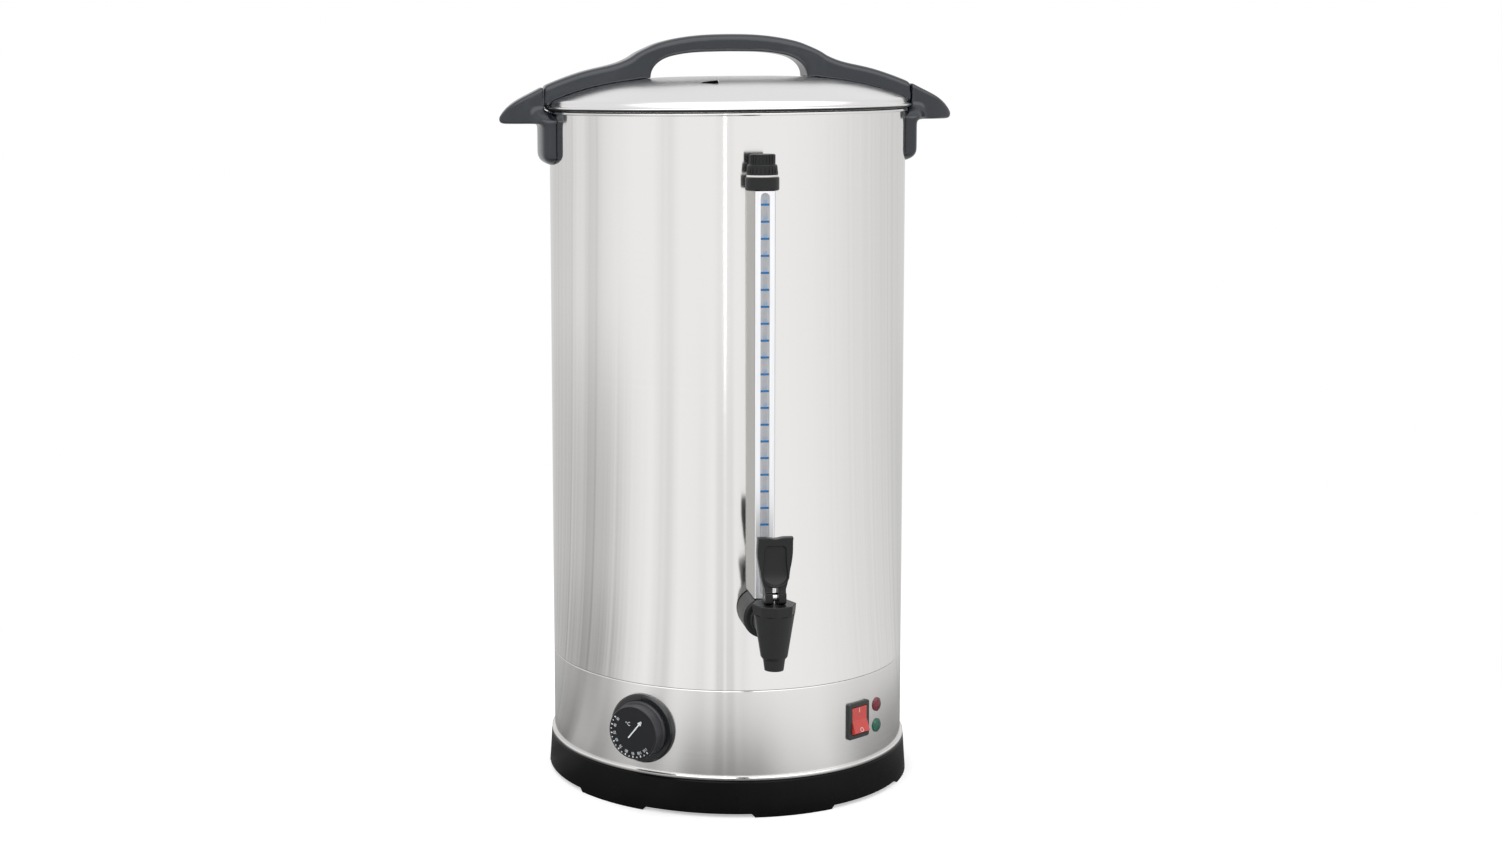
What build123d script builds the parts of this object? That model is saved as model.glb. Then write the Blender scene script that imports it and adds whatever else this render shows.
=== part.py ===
from build123d import *

import os
from math import cos, radians, sin, sqrt, tan

# A 30 litre hot water urn. Millimetres, +Z up, the origin on the table at the centre of the six feet.
# The tap and the sight gauge face -Y and the two side handles lie along X.
# Azimuths are degrees round the urn, from the tap towards +X.

# --- Driving dimensions ---------------------------------------------------------------------------

# Tank: a drawn stainless steel wall, a rolled rim, and a floor set in above a short skirt.
tank_radius = 152.5
sheet = 0.8
rim_height = 578.0
rim_bead_radius = 1.4
tank_skirt_height = 106.3
tank_floor_rise = 7.7
floor_corner_radius = 6.0

# Base band: the stainless steel collar that carries the controls.
band_foot_height = 30.0
band_lip_height = 3.5
band_lip_depth = 2.5
band_joggle_height = 6.2
band_joggle_clearance = 0.25

# Base ring: the black moulded foot with six low feet and the recesses between them.
ring_foot_proud = 4.7
ring_top_proud = 2.8
ring_wall = 3.0
ring_deck_width = 26.0
foot_count = 6
foot_azimuth = 12.0
foot_angle = 25.0
foot_rise = 3.0
foot_ramp = 3.0
boss_radius = 4.5
boss_inset = 15.5
ring_rib_count = 12

# Bottom plate, its screws and the four tie rods that pull the base together.
plate_thickness = 1.2
plate_height = 6.8
plate_gap = 1.0
vent_count = 16
vent_inset = 57.5
vent_length = 34.0
vent_width = 5.0
plate_screw_radius = 1.9
plate_screw_depth = 12.0
pan_head_radius = 3.6
pan_head_height = 2.2
tie_rod_radius = 2.5
tie_rod_inset = 44.5
tie_rod_azimuth = 45.0
tie_nut_height = 4.2
tie_nut_flats = 8.0
tie_rod_tail = 0.9
hole_clearance = 0.25

# Heater: an aluminium spreader under the tank floor with the element cast against it.
spreader_radius = 88.0
spreader_thickness = 4.0
element_circle = 68.0
element_section = 8.0
element_gap_angle = 34.0
cold_end_length = 16.0
cutout_radius = 9.5
cutout_height = 11.0
spade_width = 6.3
spade_thickness = 0.8
spade_length = 8.0

# Thermostat, its knob and dial plate.
knob_azimuth = -36.2
knob_height = 68.8
dial_plate_radius = 29.0
dial_plate_proud = 3.5
dial_plate_taper = 1.4
knob_radius = 22.4
knob_skirt_radius = 24.0
knob_front = 17.5
knob_wall = 2.0
knob_rim = 1.3
running_gap = 0.3
shaft_radius = 3.0
shaft_clearance = 0.05
shaft_depth = 6.0
thermostat_width = 34.0
thermostat_tall = 40.0
thermostat_depth = 24.0
thermostat_screw_spacing = 28.0
thermostat_screw_radius = 2.0
terminal_offset = 96.0
terminal_pitch = 10.0
capillary_radius = 0.9
bulb_radius = 3.0
bulb_length = 62.0
bulb_offset = 34.0

# Rocker switch.
switch_azimuth = 36.7
switch_height = 69.7
switch_frame_width = 25.5
switch_frame_tall = 31.0
switch_frame_proud = 2.1
switch_body_width = 21.6
switch_body_tall = 27.6
switch_body_depth = 20.0
rocker_width = 18.0
rocker_swing_radius = 11.7
rocker_crown = 3.2
rocker_half_angle = 10.0
rocker_heel_depth = 3.2
rocker_well_depth = 6.5
rocker_pin_radius = 1.2
rocker_pin_length = 0.9

# Indicator lamps.
lamp_azimuth = 46.8
red_lamp_height = 77.2
green_lamp_height = 59.1
lamp_lens_radius = 5.8
lamp_body_radius = 4.6
lamp_body_depth = 15.0
lamp_dome = 3.0
lamp_rim = 0.9
lamp_clip_wall = 2.6
lamp_clip_depth = 2.2

# Supply lead gland at the back.
gland_height = 56.0
gland_flange_radius = 11.0
gland_thread_radius = 7.5
gland_bore_radius = 4.2
gland_reach = 16.0
gland_inside = 12.0
gland_flange_thickness = 3.0
gland_nut_flats = 20.0
gland_nut_thickness = 5.0

# Side handles: a bracket on the shell under a wedge-shaped grip.
handle_joint_gap = 0.6
handle_reach = 44.5
bracket_drop = 48.0
bracket_depth = 10.7
bracket_width = 28.0
bracket_corner_radius = 9.0
bracket_chamfer = 1.5
wedge_edge_radius = 3.0
grip_floor_drop = 10.7
grip_root_rise = 21.2
handle_screw_drops = (36.0, 19.0)
handle_screw_radius = 2.5
handle_screw_depth = 8.0
handle_screw_head = 4.6

# The grip's outline from its root to its tip: shares of its length outwards, and of its height upwards.
grip_crest_line = ((0, 1), (0.433, 0.73), (0.711, 0.533), (0.963, 0.219))
grip_nose_line = ((0.963, 0.219), (1, 0.107), (0.911, 0))
grip_waist_share = 0.21
grip_draw_in_share = 0.738

# Lid: a pressed dome with a hollow hem and a skirt that drops inside the tank.
lid_crown_rise = 28.0
lid_shoulder_drop = 18.6
lid_shoulder_inset = 2.5
lid_overhang = 4.9
lid_skirt_depth = 12.0
lid_skirt_clearance = 0.75
lid_rest_gap = 0.35
steam_slot_length = 14.0
steam_slot_width = 4.0
steam_slot_radius = 99.0
steam_slot_azimuth = -17.0

# Lid handle: one moulding that arches over the middle and runs out to the lid's edge.
arch_rise = 35.9
arch_thickness = 14.9
arch_half_opening = 64.0
lid_handle_end_rise = 21.4
lid_handle_overhang = 0.9
grip_half_width = 13.6
leg_half_width = 21.5
end_half_width = 14.6
handle_edge_radius = 6.0
lid_screw_position = 86.0
lid_screw_radius = 2.5
lid_washer_radius = 7.0
lid_washer_thickness = 1.2
lid_screw_depth = 9.5
lid_screw_head = 5.0

# The lid handle's lines: shares of its half length outwards, and of its fall from the crown.
arch_line = ((0.166, 0.0212), (0.333, 0.1153), (0.417, 0.2118), (0.499, 0.3741), (0.583, 0.5271),
             (0.749, 0.68), (0.917, 0.8753))
opening_corner_drop = 24.0
opening_line = ((0.966, 0.583), (0.859, 0.3), (0.688, 0.125), (0.406, 0.025))
plan_stations = (0.278, 0.417, 0.531, 0.670, 0.846)

# Sight gauge: a glass tube in a folded channel, between the tap's fitting and a vented top fitting.
gauge_standoff = 22.5
gauge_tube_radius = 5.0
gauge_tube_wall = 1.1
channel_width = 16.7
channel_depth = 36.4
channel_sheet = 1.0
slot_width = 7.2
window_thickness = 0.5
window_lap = 0.8
gauge_top_drop = 60.7
collar_height = 10.7
collar_radius = 13.5
stub_radius = 5.0
stub_flange_radius = 8.0
stub_bore = 2.0
stub_gasket = 1.5
stub_inside = 14.0
stub_nut_flats = 18.0
stub_nut_thickness = 5.0
cap_seal_thickness = 1.5
cap_skirt_radius = 12.6
cap_knob_radius = 10.4
cap_skirt_height = 7.8
cap_knob_height = 8.2
cap_rib_count = 24
spigot_radius = 8.0
seal_wall = 1.2
seal_height = 5.0

# Tap: a tapered plastic body on a shank, which also carries the gauge's lower fitting.
tap_reach = 78.5
tap_height = 175.5
shank_radius = 8.0
shank_bore = 4.8
shank_inside = 16.0
base_fitting_radius = 16.5
base_fitting_depth = 35.5
gasket_thickness = 2.1
tap_nut_flats = 24.0
tap_nut_thickness = 6.0
tap_washer_thickness = 2.6
tap_collar_radius = 12.0
tap_collar_length = 6.0
bonnet_rise = 23.0
bonnet_height = 8.5
bonnet_corner_radius = 17.4
bonnet_root_radius = 16.5
body_top_radius = 15.9
body_foot_radius = 10.6
body_foot_drop = 19.0
spout_top_radius = 8.7
spout_tip_radius = 7.55
spout_tip_drop = 30.1
spout_bore = 5.4
chamber_radius = 9.5
seat_drop = 8.5
seat_bore = 4.6
seat_rim = 1.4

# Tap valve: stem, silicone cup, spring, and a lever with cam feet that lifts the stem.
stem_radius = 1.9
stem_guide_clearance = 0.08
stem_flange_radius = 3.3
stem_flange_thickness = 0.8
stem_eye_radius = 3.45
cup_radius = 7.6
cup_height = 5.0
cup_floor = 1.7
seat_gap = 0.15
spring_radius = 5.0
spring_wire = 0.6
spring_turns = 5
pin_radius = 1.5
pin_clearance = 0.05
cam_rest_height = 5.0
cam_rise = 4.0
lever_swing = 40.0
cam_gap = 0.15
lever_leg_width = 16.7
lever_gap = 4.6
lever_gap_rise = 8.2
lever_neck_rise = 15.5
lever_top_rise = 51.5
lever_top_width = 27.8
lever_neck_width = 17.6
lever_leg_back = 5.5
lever_thickness = 6.5
lever_step = 1.8
lip_rise = 8.4
rest_half_width = 7.8
rest_foot_rise = 10.3
rest_top_rise = 44.4
rest_depth = 2.6

# --- Values that follow ----------------------------------------------------------------------------

SEATED = (Align.CENTER, Align.CENTER, Align.MIN)
tank_bore = tank_radius - sheet
tank_floor_height = tank_skirt_height + tank_floor_rise
well_inside = 0.65 * tank_radius
well_outside = 1.35 * tank_radius
well_above = 2 * rim_height
ring_foot_radius = tank_radius + ring_foot_proud
ring_top_radius = tank_radius + ring_top_proud
boss_circle = tank_radius - boss_inset
vent_circle = tank_radius - vent_inset
tie_rod_circle = tank_radius - tie_rod_inset
bead_centre_radius = tank_bore + rim_bead_radius
bead_centre_height = rim_height - rim_bead_radius
floor_underside = tank_floor_height - sheet
ring_deck_bottom = band_foot_height - ring_wall
plate_radius = (ring_foot_radius - ring_wall
                - (ring_foot_radius - ring_top_radius) * plate_height / band_foot_height - plate_gap)
spreader_bottom = floor_underside - spreader_thickness
element_bottom = spreader_bottom - element_section
knob_back = tank_radius + dial_plate_proud + running_gap
knob_top = tank_radius + knob_front
rocker_pivot_radius = tank_radius + switch_frame_proud - rocker_crown * cos(radians(rocker_half_angle))
bracket_bottom = rim_height - bracket_drop
grip_floor = rim_height - grip_floor_drop
grip_root_height = rim_height + grip_root_rise
handle_tip_radius = tank_radius + handle_reach
handle_screw_heights = [rim_height - drop for drop in handle_screw_drops]
lid_crown_height = rim_height + lid_crown_rise
lid_shoulder_radius = tank_radius - lid_shoulder_inset
lid_edge_radius = tank_radius + lid_overhang
arch_crown_height = lid_crown_height + arch_rise
lid_handle_end_height = rim_height + lid_handle_end_rise
lid_rest_height = rim_height + lid_rest_gap
lid_skirt_radius = tank_bore - lid_skirt_clearance
lid_hem_bottom = lid_rest_height + 1.1
lid_hem_top = lid_hem_bottom + 2.2
lid_handle_end = lid_edge_radius + lid_handle_overhang
side_handle_root = lid_handle_end + handle_joint_gap
gauge_offset = tank_radius + gauge_standoff
channel_front = tank_radius + channel_depth
base_fitting_front = tank_radius + base_fitting_depth
tap_offset = tank_radius + tap_reach
gauge_bottom_height = tap_height + base_fitting_radius + 0.2
gauge_top_height = rim_height - gauge_top_drop
collar_top = gauge_top_height + collar_height
cap_bottom = collar_top + cap_seal_thickness + running_gap
cap_shoulder = cap_bottom + cap_skirt_height
cap_top = cap_shoulder + cap_knob_height
bonnet_top = tap_height + bonnet_rise
bonnet_bottom = bonnet_top - bonnet_height
body_foot_height = tap_height - body_foot_drop
spout_tip_height = tap_height - spout_tip_drop
seat_height = tap_height - seat_drop
pin_height = bonnet_top + cam_gap + cam_rest_height
cup_bottom = seat_height + seat_rim + seat_gap
spring_bottom = cup_bottom + cup_height
boss_foot_height = plate_height + plate_thickness


# --- Shared shapes ---------------------------------------------------------------------------------

def turned(points, centre_y=0.0):
    """A solid of revolution about a vertical axis, from its (radius, height) outline."""
    face = make_face(Polyline(*points, close=True))
    return Pos(0, centre_y, 0) * revolve(Plane.XZ * face, Axis.Z)


def rod(radius, low, high):
    """A round bar along local Z between two heights."""
    return Pos(0, 0, low) * Cylinder(radius, high - low, align=SEATED)


def tube(outer, inner, low, high):
    """A round tube along local Z between two heights."""
    return rod(outer, low, high) - rod(inner, low - 1, high + 1)


def through_wall(radius):
    """A round cutter along local Z, from well inside the shell to well outside it."""
    return rod(radius, well_inside, well_outside)


def block(width, tall, low, high):
    """A rectangular bar along local Z between two heights."""
    return Pos(0, 0, low) * Box(width, tall, high - low, align=SEATED)


def hexagon(flats, low, high):
    """A hexagonal bar along local Z, by its width across flats."""
    return Pos(0, 0, low) * extrude(RegularPolygon(flats / 2, 6, major_radius=False), high - low)


def slab(plane, face, half):
    """A face swept to both sides of its plane as one block."""
    return extrude(plane.offset(-half) * face, 2 * half)


def crossways(z, y=0.0):
    """A place whose local Z lies along X, at a height on the urn's middle plane."""
    return Plane(origin=(0, y, z), z_dir=(1, 0, 0)).location


def facing(azimuth, height):
    """A frame on the urn's axis whose x runs to the right, y up and z straight out at an azimuth."""
    turn = radians(azimuth)
    out = Vector(sin(turn), -cos(turn), 0)
    return Plane(origin=(0, 0, height), x_dir=Vector(cos(turn), sin(turn), 0), z_dir=out)


def spot(azimuth, circle, height=0.0):
    """A place on a circle about the urn's axis."""
    turn = radians(azimuth)
    return Pos(circle * sin(turn), -circle * cos(turn), height)


def around(solid, count, first=0.0):
    """Copies of a solid, evenly spaced round the urn's axis."""
    return [Rot(0, 0, first + 360 * i / count) * solid for i in range(count)]


def outside_shell(solid):
    """The part of a solid that lies outside the shell."""
    return solid - rod(tank_radius, 0, well_above)


def inside_shell(solid):
    """The part of a solid that lies inside the shell's bore."""
    return solid & rod(tank_bore, 0, well_above)


# --- Base ------------------------------------------------------------------------------------------

def base_ring():
    """The moulded foot ring: a raked wall, a deck under the band, ribs, screw bosses and six feet."""
    inner_foot = ring_foot_radius - ring_wall
    inner_top = ring_top_radius - ring_wall
    deck_inner = ring_top_radius - ring_deck_width
    ring = turned([
        (ring_foot_radius, 0), (ring_top_radius, band_foot_height - 1),
        (ring_top_radius - 1, band_foot_height), (deck_inner, band_foot_height),
        (deck_inner, ring_deck_bottom), (inner_top, ring_deck_bottom), (inner_foot, 0)])
    rib_length = ring_top_radius - 1.5 * ring_wall - deck_inner
    rib = Pos(deck_inner + rib_length / 2 + 1, 0, ring_deck_bottom - 5) * Box(rib_length, 2, 10)
    boss = spot(0, boss_circle) * rod(boss_radius, boss_foot_height, ring_deck_bottom)
    ring += around(rib, ring_rib_count, 30)
    ring += around(boss, foot_count, foot_azimuth)
    screw_hole = spot(0, boss_circle) * rod(plate_screw_radius, 0, boss_foot_height + plate_screw_depth)
    ring -= around(screw_hole, foot_count, foot_azimuth)
    ring -= around(foot_recess(), foot_count, foot_azimuth)
    return ring


def foot_recess():
    """The shallow gap between two feet, with sloping ends, which runs through the ring's wall."""
    half_length = ring_foot_radius * sin(radians(180 / foot_count - foot_angle / 2))
    outline = Polyline((-half_length, 0), (half_length, 0), (half_length - foot_ramp, foot_rise),
                       (foot_ramp - half_length, foot_rise), close=True)
    cutter = Pos(0, 0, well_inside) * extrude(make_face(outline), well_outside - well_inside)
    return facing(180 / foot_count, 0) * cutter


def bottom_plate():
    """The steel plate that closes the base from below, with its cooling slots."""
    plate = rod(plate_radius, plate_height, boss_foot_height)
    slot = Pos(vent_circle, 0, 0) * extrude(SlotOverall(vent_length, vent_width), band_foot_height)
    plate -= around(slot, vent_count, 180 / vent_count)
    screw_hole = spot(0, boss_circle) * rod(plate_screw_radius + hole_clearance, 0, band_foot_height)
    stud_hole = spot(0, tie_rod_circle) * rod(tie_rod_radius + hole_clearance, 0, band_foot_height)
    plate -= around(screw_hole, foot_count, foot_azimuth)
    plate -= around(stud_hole, 4, tie_rod_azimuth)
    return plate


def bottom_plate_screws():
    """Pan head screws from below into the ring's bosses."""
    head = rod(pan_head_radius, plate_height - pan_head_height, plate_height)
    thread = rod(plate_screw_radius, plate_height, boss_foot_height + plate_screw_depth - 1)
    return Compound(around(spot(0, boss_circle) * (head + thread), foot_count, foot_azimuth))


def tie_rods():
    """Four studs welded under the tank floor, which pass through the bottom plate."""
    stud = rod(tie_rod_radius, plate_height - tie_nut_height - tie_rod_tail, floor_underside)
    return Compound(around(spot(0, tie_rod_circle) * stud, 4, tie_rod_azimuth))


def tie_rod_nuts():
    """Hexagon nuts on the studs, under the bottom plate."""
    nut = hexagon(tie_nut_flats, plate_height - tie_nut_height, plate_height)
    nut -= rod(tie_rod_radius, 0, band_foot_height)
    return Compound(around(spot(0, tie_rod_circle) * nut, 4, tie_rod_azimuth))


# --- Shell -----------------------------------------------------------------------------------------

def base_band():
    """The stainless steel collar: a rolled lip below and a joggle that tucks up inside the tank's skirt."""
    inner = tank_radius - sheet
    lip = tank_radius + band_lip_depth
    tuck = inner - band_joggle_clearance
    shoulder = tank_skirt_height - 0.3
    lip_top = band_foot_height + band_lip_height
    band = turned([
        (inner, band_foot_height), (lip - 0.8, band_foot_height), (lip, band_foot_height + 0.8),
        (lip, lip_top - 0.8), (lip - 0.8, lip_top), (tank_radius, lip_top),
        (tank_radius, shoulder - 1), (tank_radius - 0.3, shoulder - 0.2), (tuck, shoulder),
        (tuck, shoulder + band_joggle_height), (tuck - sheet, shoulder + band_joggle_height),
        (tuck - sheet, shoulder - 1.2), (inner, shoulder - 2.4)])
    band -= facing(knob_azimuth, knob_height) * through_wall(shaft_radius + 1.5)
    for side in (-1, 1):
        hole = through_wall(thermostat_screw_radius + hole_clearance)
        band -= facing(knob_azimuth, knob_height) * Pos(side * thermostat_screw_spacing / 2, 0, 0) * hole
    window = block(switch_body_width + 2 * hole_clearance, switch_body_tall + 2 * hole_clearance,
                   well_inside, well_outside)
    band -= facing(switch_azimuth, switch_height) * window
    for height in (red_lamp_height, green_lamp_height):
        band -= facing(lamp_azimuth, height) * through_wall(lamp_body_radius + hole_clearance)
    band -= facing(180, gland_height) * through_wall(gland_thread_radius + hole_clearance)
    return band


def tank():
    """The water tank: wall with a rolled rim, a floor with a rounded corner, and a skirt below it."""
    corner = floor_corner_radius
    wall = turned([(tank_bore, tank_skirt_height), (tank_radius, tank_skirt_height),
                   (tank_radius, bead_centre_height), (tank_bore, bead_centre_height)])
    bead = revolve(Plane.XZ * Pos(bead_centre_radius, bead_centre_height) * Circle(rim_bead_radius), Axis.Z)
    floor_line = [(0, floor_underside), (tank_bore - corner, floor_underside),
                  (tank_bore - corner * 0.3, floor_underside + corner * 0.3),
                  (tank_bore, floor_underside + corner), (tank_bore, tank_floor_height + corner + 1),
                  (tank_bore - sheet, tank_floor_height + corner),
                  (tank_bore - sheet - corner * 0.3, tank_floor_height + corner * 0.3),
                  (tank_bore - sheet - corner, tank_floor_height), (0, tank_floor_height)]
    shell = wall + turned(floor_line) + bead
    shell -= facing(0, tap_height) * through_wall(shank_radius + hole_clearance)
    shell -= facing(0, stub_height()) * through_wall(stub_radius + hole_clearance)
    for azimuth in (90, -90):
        for height in handle_screw_heights:
            shell -= facing(azimuth, height) * through_wall(handle_screw_radius + hole_clearance)
    return shell


def stub_height():
    """The height of the gauge's top stub, half way up its collar."""
    return gauge_top_height + collar_height / 2


# --- Heater and controls ---------------------------------------------------------------------------

def heat_spreader():
    """The aluminium disc brazed under the tank floor."""
    return rod(spreader_radius, spreader_bottom, floor_underside)


def heating_element():
    """The tubular element: an open ring with a flat top, and two cold ends that turn down."""
    half = element_section / 2
    profile = (Pos(element_circle, spreader_bottom - half) * Circle(half)
               + Pos(element_circle, spreader_bottom - half / 2) * Rectangle(element_section, half))
    arc = 360 - element_gap_angle
    ring = Rot(0, 0, element_gap_angle / 2) * revolve(Plane.XZ * profile, Axis.Z, arc)
    for angle in (element_gap_angle / 2 + 3, -element_gap_angle / 2 - 3):
        pin = Pos(element_circle, 0, 0) * rod(2.4, element_bottom - cold_end_length, spreader_bottom - half)
        tab_top = element_bottom - cold_end_length + 0.5
        tab = block(spade_thickness, spade_width, tab_top - spade_length, tab_top)
        tab = Pos(element_circle, 0, 0) * tab
        ring += Rot(0, 0, angle) * (pin + tab)
    return Rot(0, 0, 90) * ring


def boil_dry_cutout():
    """The snap disc under the spreader that opens when the tank is heated dry."""
    body = rod(cutout_radius, spreader_bottom - cutout_height, spreader_bottom)
    flange = block(2 * cutout_radius + 12, 9, spreader_bottom - 1.5, spreader_bottom)
    tab_top = spreader_bottom - cutout_height + 0.5
    tab = block(spade_thickness, spade_width, tab_top - spade_length, tab_top)
    return body + flange + [Pos(side * cutout_radius / 2, 0, 0) * tab for side in (-1, 1)]


def thermostat_front():
    """How far out the flat front of the thermostat sits against the inside of the band."""
    return sqrt(tank_bore ** 2 - (thermostat_width / 2) ** 2) - 0.1


def thermostat_body():
    """The capillary thermostat: a moulded case on a steel front plate."""
    front = thermostat_front()
    plate = block(thermostat_width, thermostat_tall, front - 1.5, front)
    case = block(thermostat_width - 4, thermostat_tall - 8, front - thermostat_depth, front - 1.5)
    neck = rod(5, front - 8, front - 0.1)
    body = plate + fillet(case.edges().filter_by(Axis.Z), 3) + neck
    body -= rod(shaft_radius + shaft_clearance, front - shaft_depth - 1, front + 1)
    for side in (-1, 1):
        hole = rod(thermostat_screw_radius, front - 5, front + 1)
        body -= Pos(side * thermostat_screw_spacing / 2, 0, 0) * hole
    return facing(knob_azimuth, knob_height) * body


def thermostat_screws():
    """Two screws under the knob that pull the dial plate, the band and the thermostat together."""
    front = thermostat_front()
    seat = tank_radius + dial_plate_proud
    screw = rod(thermostat_screw_radius, front - 4.8, seat) + rod(pan_head_radius, seat, seat + 1.6)
    sides = [Pos(side * thermostat_screw_spacing / 2, 0, 0) for side in (-1, 1)]
    return Compound([facing(knob_azimuth, knob_height) * side * screw for side in sides])


def capillary_tube():
    """The copper capillary from the thermostat up to its sensing bulb under the spreader."""
    start = facing(knob_azimuth, knob_height) * Pos(0, thermostat_tall / 2 - 4,
                                                    thermostat_front() - thermostat_depth / 2)
    begin = start.position
    bulb_axis = spreader_bottom - bulb_radius
    bulb_end = Vector(-bulb_length / 2, -bulb_offset, bulb_axis)
    run_height = element_bottom - 7
    route = [begin, begin + Vector(0, 0, 12), Vector(begin.X * 0.75, begin.Y * 0.7, run_height),
             Vector(-bulb_length / 2 - 26, -bulb_offset, run_height), bulb_end - Vector(9, 0, 0), bulb_end]
    path = FilletPolyline(*route, radius=4 * capillary_radius)
    line = sweep(Plane(origin=path @ 0, z_dir=path % 0) * Circle(capillary_radius), path=path)
    bulb = Plane(origin=bulb_end, z_dir=(1, 0, 0)).location * rod(bulb_radius, 0, bulb_length)
    return line + bulb


def terminal_block():
    """The mains terminal block on the bottom plate, three screw terminals in a moulded body."""
    body = Box(3.4 * terminal_pitch, 20, 14, align=SEATED)
    body -= GridLocations(terminal_pitch, 0, 3, 1) * rod(2, 5, 20)
    return Pos(0, terminal_offset, boss_foot_height) * body


def knob_bezel():
    """The dial plate behind the knob, shaped to the band, with a tapered edge and a raised index mark."""
    front = tank_radius + dial_plate_proud
    plate = turned([(0, 0), (dial_plate_radius, 0), (dial_plate_radius, front - 1.5),
                    (dial_plate_radius - dial_plate_taper, front), (0, front)])
    index = Pos(0, dial_plate_radius - 3.2, front) * Box(1.6, 3.4, 0.5, align=SEATED)
    plate += index
    plate -= rod(well_inside, 0, well_inside) + through_wall(shaft_radius + 1.5)
    for side in (-1, 1):
        hole = through_wall(thermostat_screw_radius + hole_clearance)
        plate -= Pos(side * thermostat_screw_spacing / 2, 0, 0) * hole
    return outside_shell(facing(knob_azimuth, knob_height) * plate)


def thermostat_knob():
    """The knob: a drawn-in skirt, a rimmed face, and a boss inside that grips the shaft."""
    face = knob_top - 0.6
    shell = turned([(0, knob_back), (knob_skirt_radius, knob_back), (knob_skirt_radius, knob_back + 2.2),
                    (knob_radius + 0.5, knob_back + 3.4), (knob_radius, knob_top - 0.8),
                    (knob_radius - 0.5, knob_top), (knob_radius - knob_rim, knob_top),
                    (knob_radius - knob_rim - 0.5, face), (0, face)])
    hollow = rod(knob_radius - knob_wall, knob_back - 1, face - knob_wall) - rod(6, knob_back + 1, face)
    shell -= hollow
    shell -= rod(shaft_radius, knob_back - 1, face - 3)
    return facing(knob_azimuth, knob_height) * shell


def thermostat_shaft():
    """The steel spindle from the thermostat out into the knob."""
    spindle = rod(shaft_radius, thermostat_front() - shaft_depth, knob_top - 0.6 - 3)
    return facing(knob_azimuth, knob_height) * spindle


def switch_housing():
    """The switch body: a rounded frame on the band, a case behind it and a well for the rocker."""
    front = tank_radius + switch_frame_proud
    frame = block(switch_frame_width, switch_frame_tall, well_inside, front)
    frame = fillet(frame.edges().filter_by(Axis.Z), 2)
    frame = chamfer(frame.faces().sort_by(Axis.Z)[-1].edges(), 0.6)
    frame = facing(switch_azimuth, switch_height) * frame
    frame = outside_shell(frame)
    case = block(switch_body_width, switch_body_tall, tank_radius - switch_body_depth, front - 0.5)
    body = frame + facing(switch_azimuth, switch_height) * case
    swing = rocker_swing_radius + running_gap
    well = block(rocker_width + 2 * running_gap, 2 * swing, rocker_pivot_radius - rocker_well_depth,
                 well_outside)
    pin = Cylinder(rocker_pin_radius + shaft_clearance, rocker_width + 2 * rocker_pin_length + 0.4)
    return body - facing(switch_azimuth, switch_height) * (well + crossways(rocker_pivot_radius) * pin)


def switch_terminals():
    """Four brass spade terminals on the back of the switch."""
    back = tank_radius - switch_body_depth
    tab = block(spade_width, spade_thickness, back - spade_length, back)
    places = GridLocations(switch_body_width / 2, switch_body_tall / 2, 2, 2)
    return Compound([facing(switch_azimuth, switch_height) * place * tab for place in places])


def rocker():
    """The rocker: round ends that sweep the well and two faces that meet in a shallow valley."""
    tilt = radians(rocker_half_angle)
    reach = rocker_swing_radius + 2
    rise = rocker_crown + reach * tan(tilt)
    keep = make_face(Polyline((-reach, -rocker_heel_depth), (reach, -rocker_heel_depth), (reach, rise),
                              (0, rocker_crown), (-reach, rise), close=True))
    outline = Circle(rocker_swing_radius) & keep
    paddle = slab(Plane.XY, outline, rocker_width / 2)
    paddle += Cylinder(rocker_pin_radius, rocker_width + 2 * rocker_pin_length)
    lying = Plane(origin=(0, 0, rocker_pivot_radius), x_dir=(0, 1, 0), z_dir=(1, 0, 0))
    tilted = Rot(0, 0, -rocker_half_angle) * paddle
    return facing(switch_azimuth, switch_height) * lying.location * tilted


def lamp(height):
    """An indicator lamp: a domed lens over the band and a body behind it."""
    front = tank_radius + lamp_rim
    bulge = lamp_dome - lamp_rim
    ball_radius = (lamp_lens_radius ** 2 + bulge ** 2) / (2 * bulge)
    ball = Pos(0, 0, front + bulge - ball_radius) * Sphere(ball_radius)
    lens = rod(lamp_lens_radius, well_inside, front) + (ball & rod(lamp_lens_radius, front, well_outside))
    head = outside_shell(facing(lamp_azimuth, height) * lens)
    return head + facing(lamp_azimuth, height) * rod(lamp_body_radius, tank_radius - lamp_body_depth, front)


def lamp_nuts():
    """Push-on clips that hold the lamps from inside the band."""
    back = tank_bore - lamp_clip_depth
    clip = tube(lamp_body_radius + lamp_clip_wall, lamp_body_radius, back, well_outside)
    return Compound([inside_shell(facing(lamp_azimuth, height) * clip)
                     for height in (red_lamp_height, green_lamp_height)])


def cord_gland():
    """The supply lead gland: a flange outside, a threaded barrel through the band."""
    face = tank_radius + gland_flange_thickness
    barrel = rod(gland_thread_radius, tank_radius - gland_inside, face - 1)
    flange = rod(gland_flange_radius, well_inside, face)
    nose = Cone(gland_flange_radius - 2, gland_bore_radius + 2.2, gland_reach - gland_flange_thickness,
                align=SEATED)
    gland = outside_shell(facing(180, gland_height) * (flange + Pos(0, 0, face) * nose))
    gland += facing(180, gland_height) * barrel
    return gland - facing(180, gland_height) * through_wall(gland_bore_radius)


def gland_nut():
    """The hexagon nut on the gland, inside the band."""
    nut = hexagon(gland_nut_flats, tank_bore - gland_nut_thickness, well_outside)
    nut -= rod(gland_thread_radius, 0, well_above)
    return inside_shell(facing(180, gland_height) * nut)


# --- Side handles ----------------------------------------------------------------------------------

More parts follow.
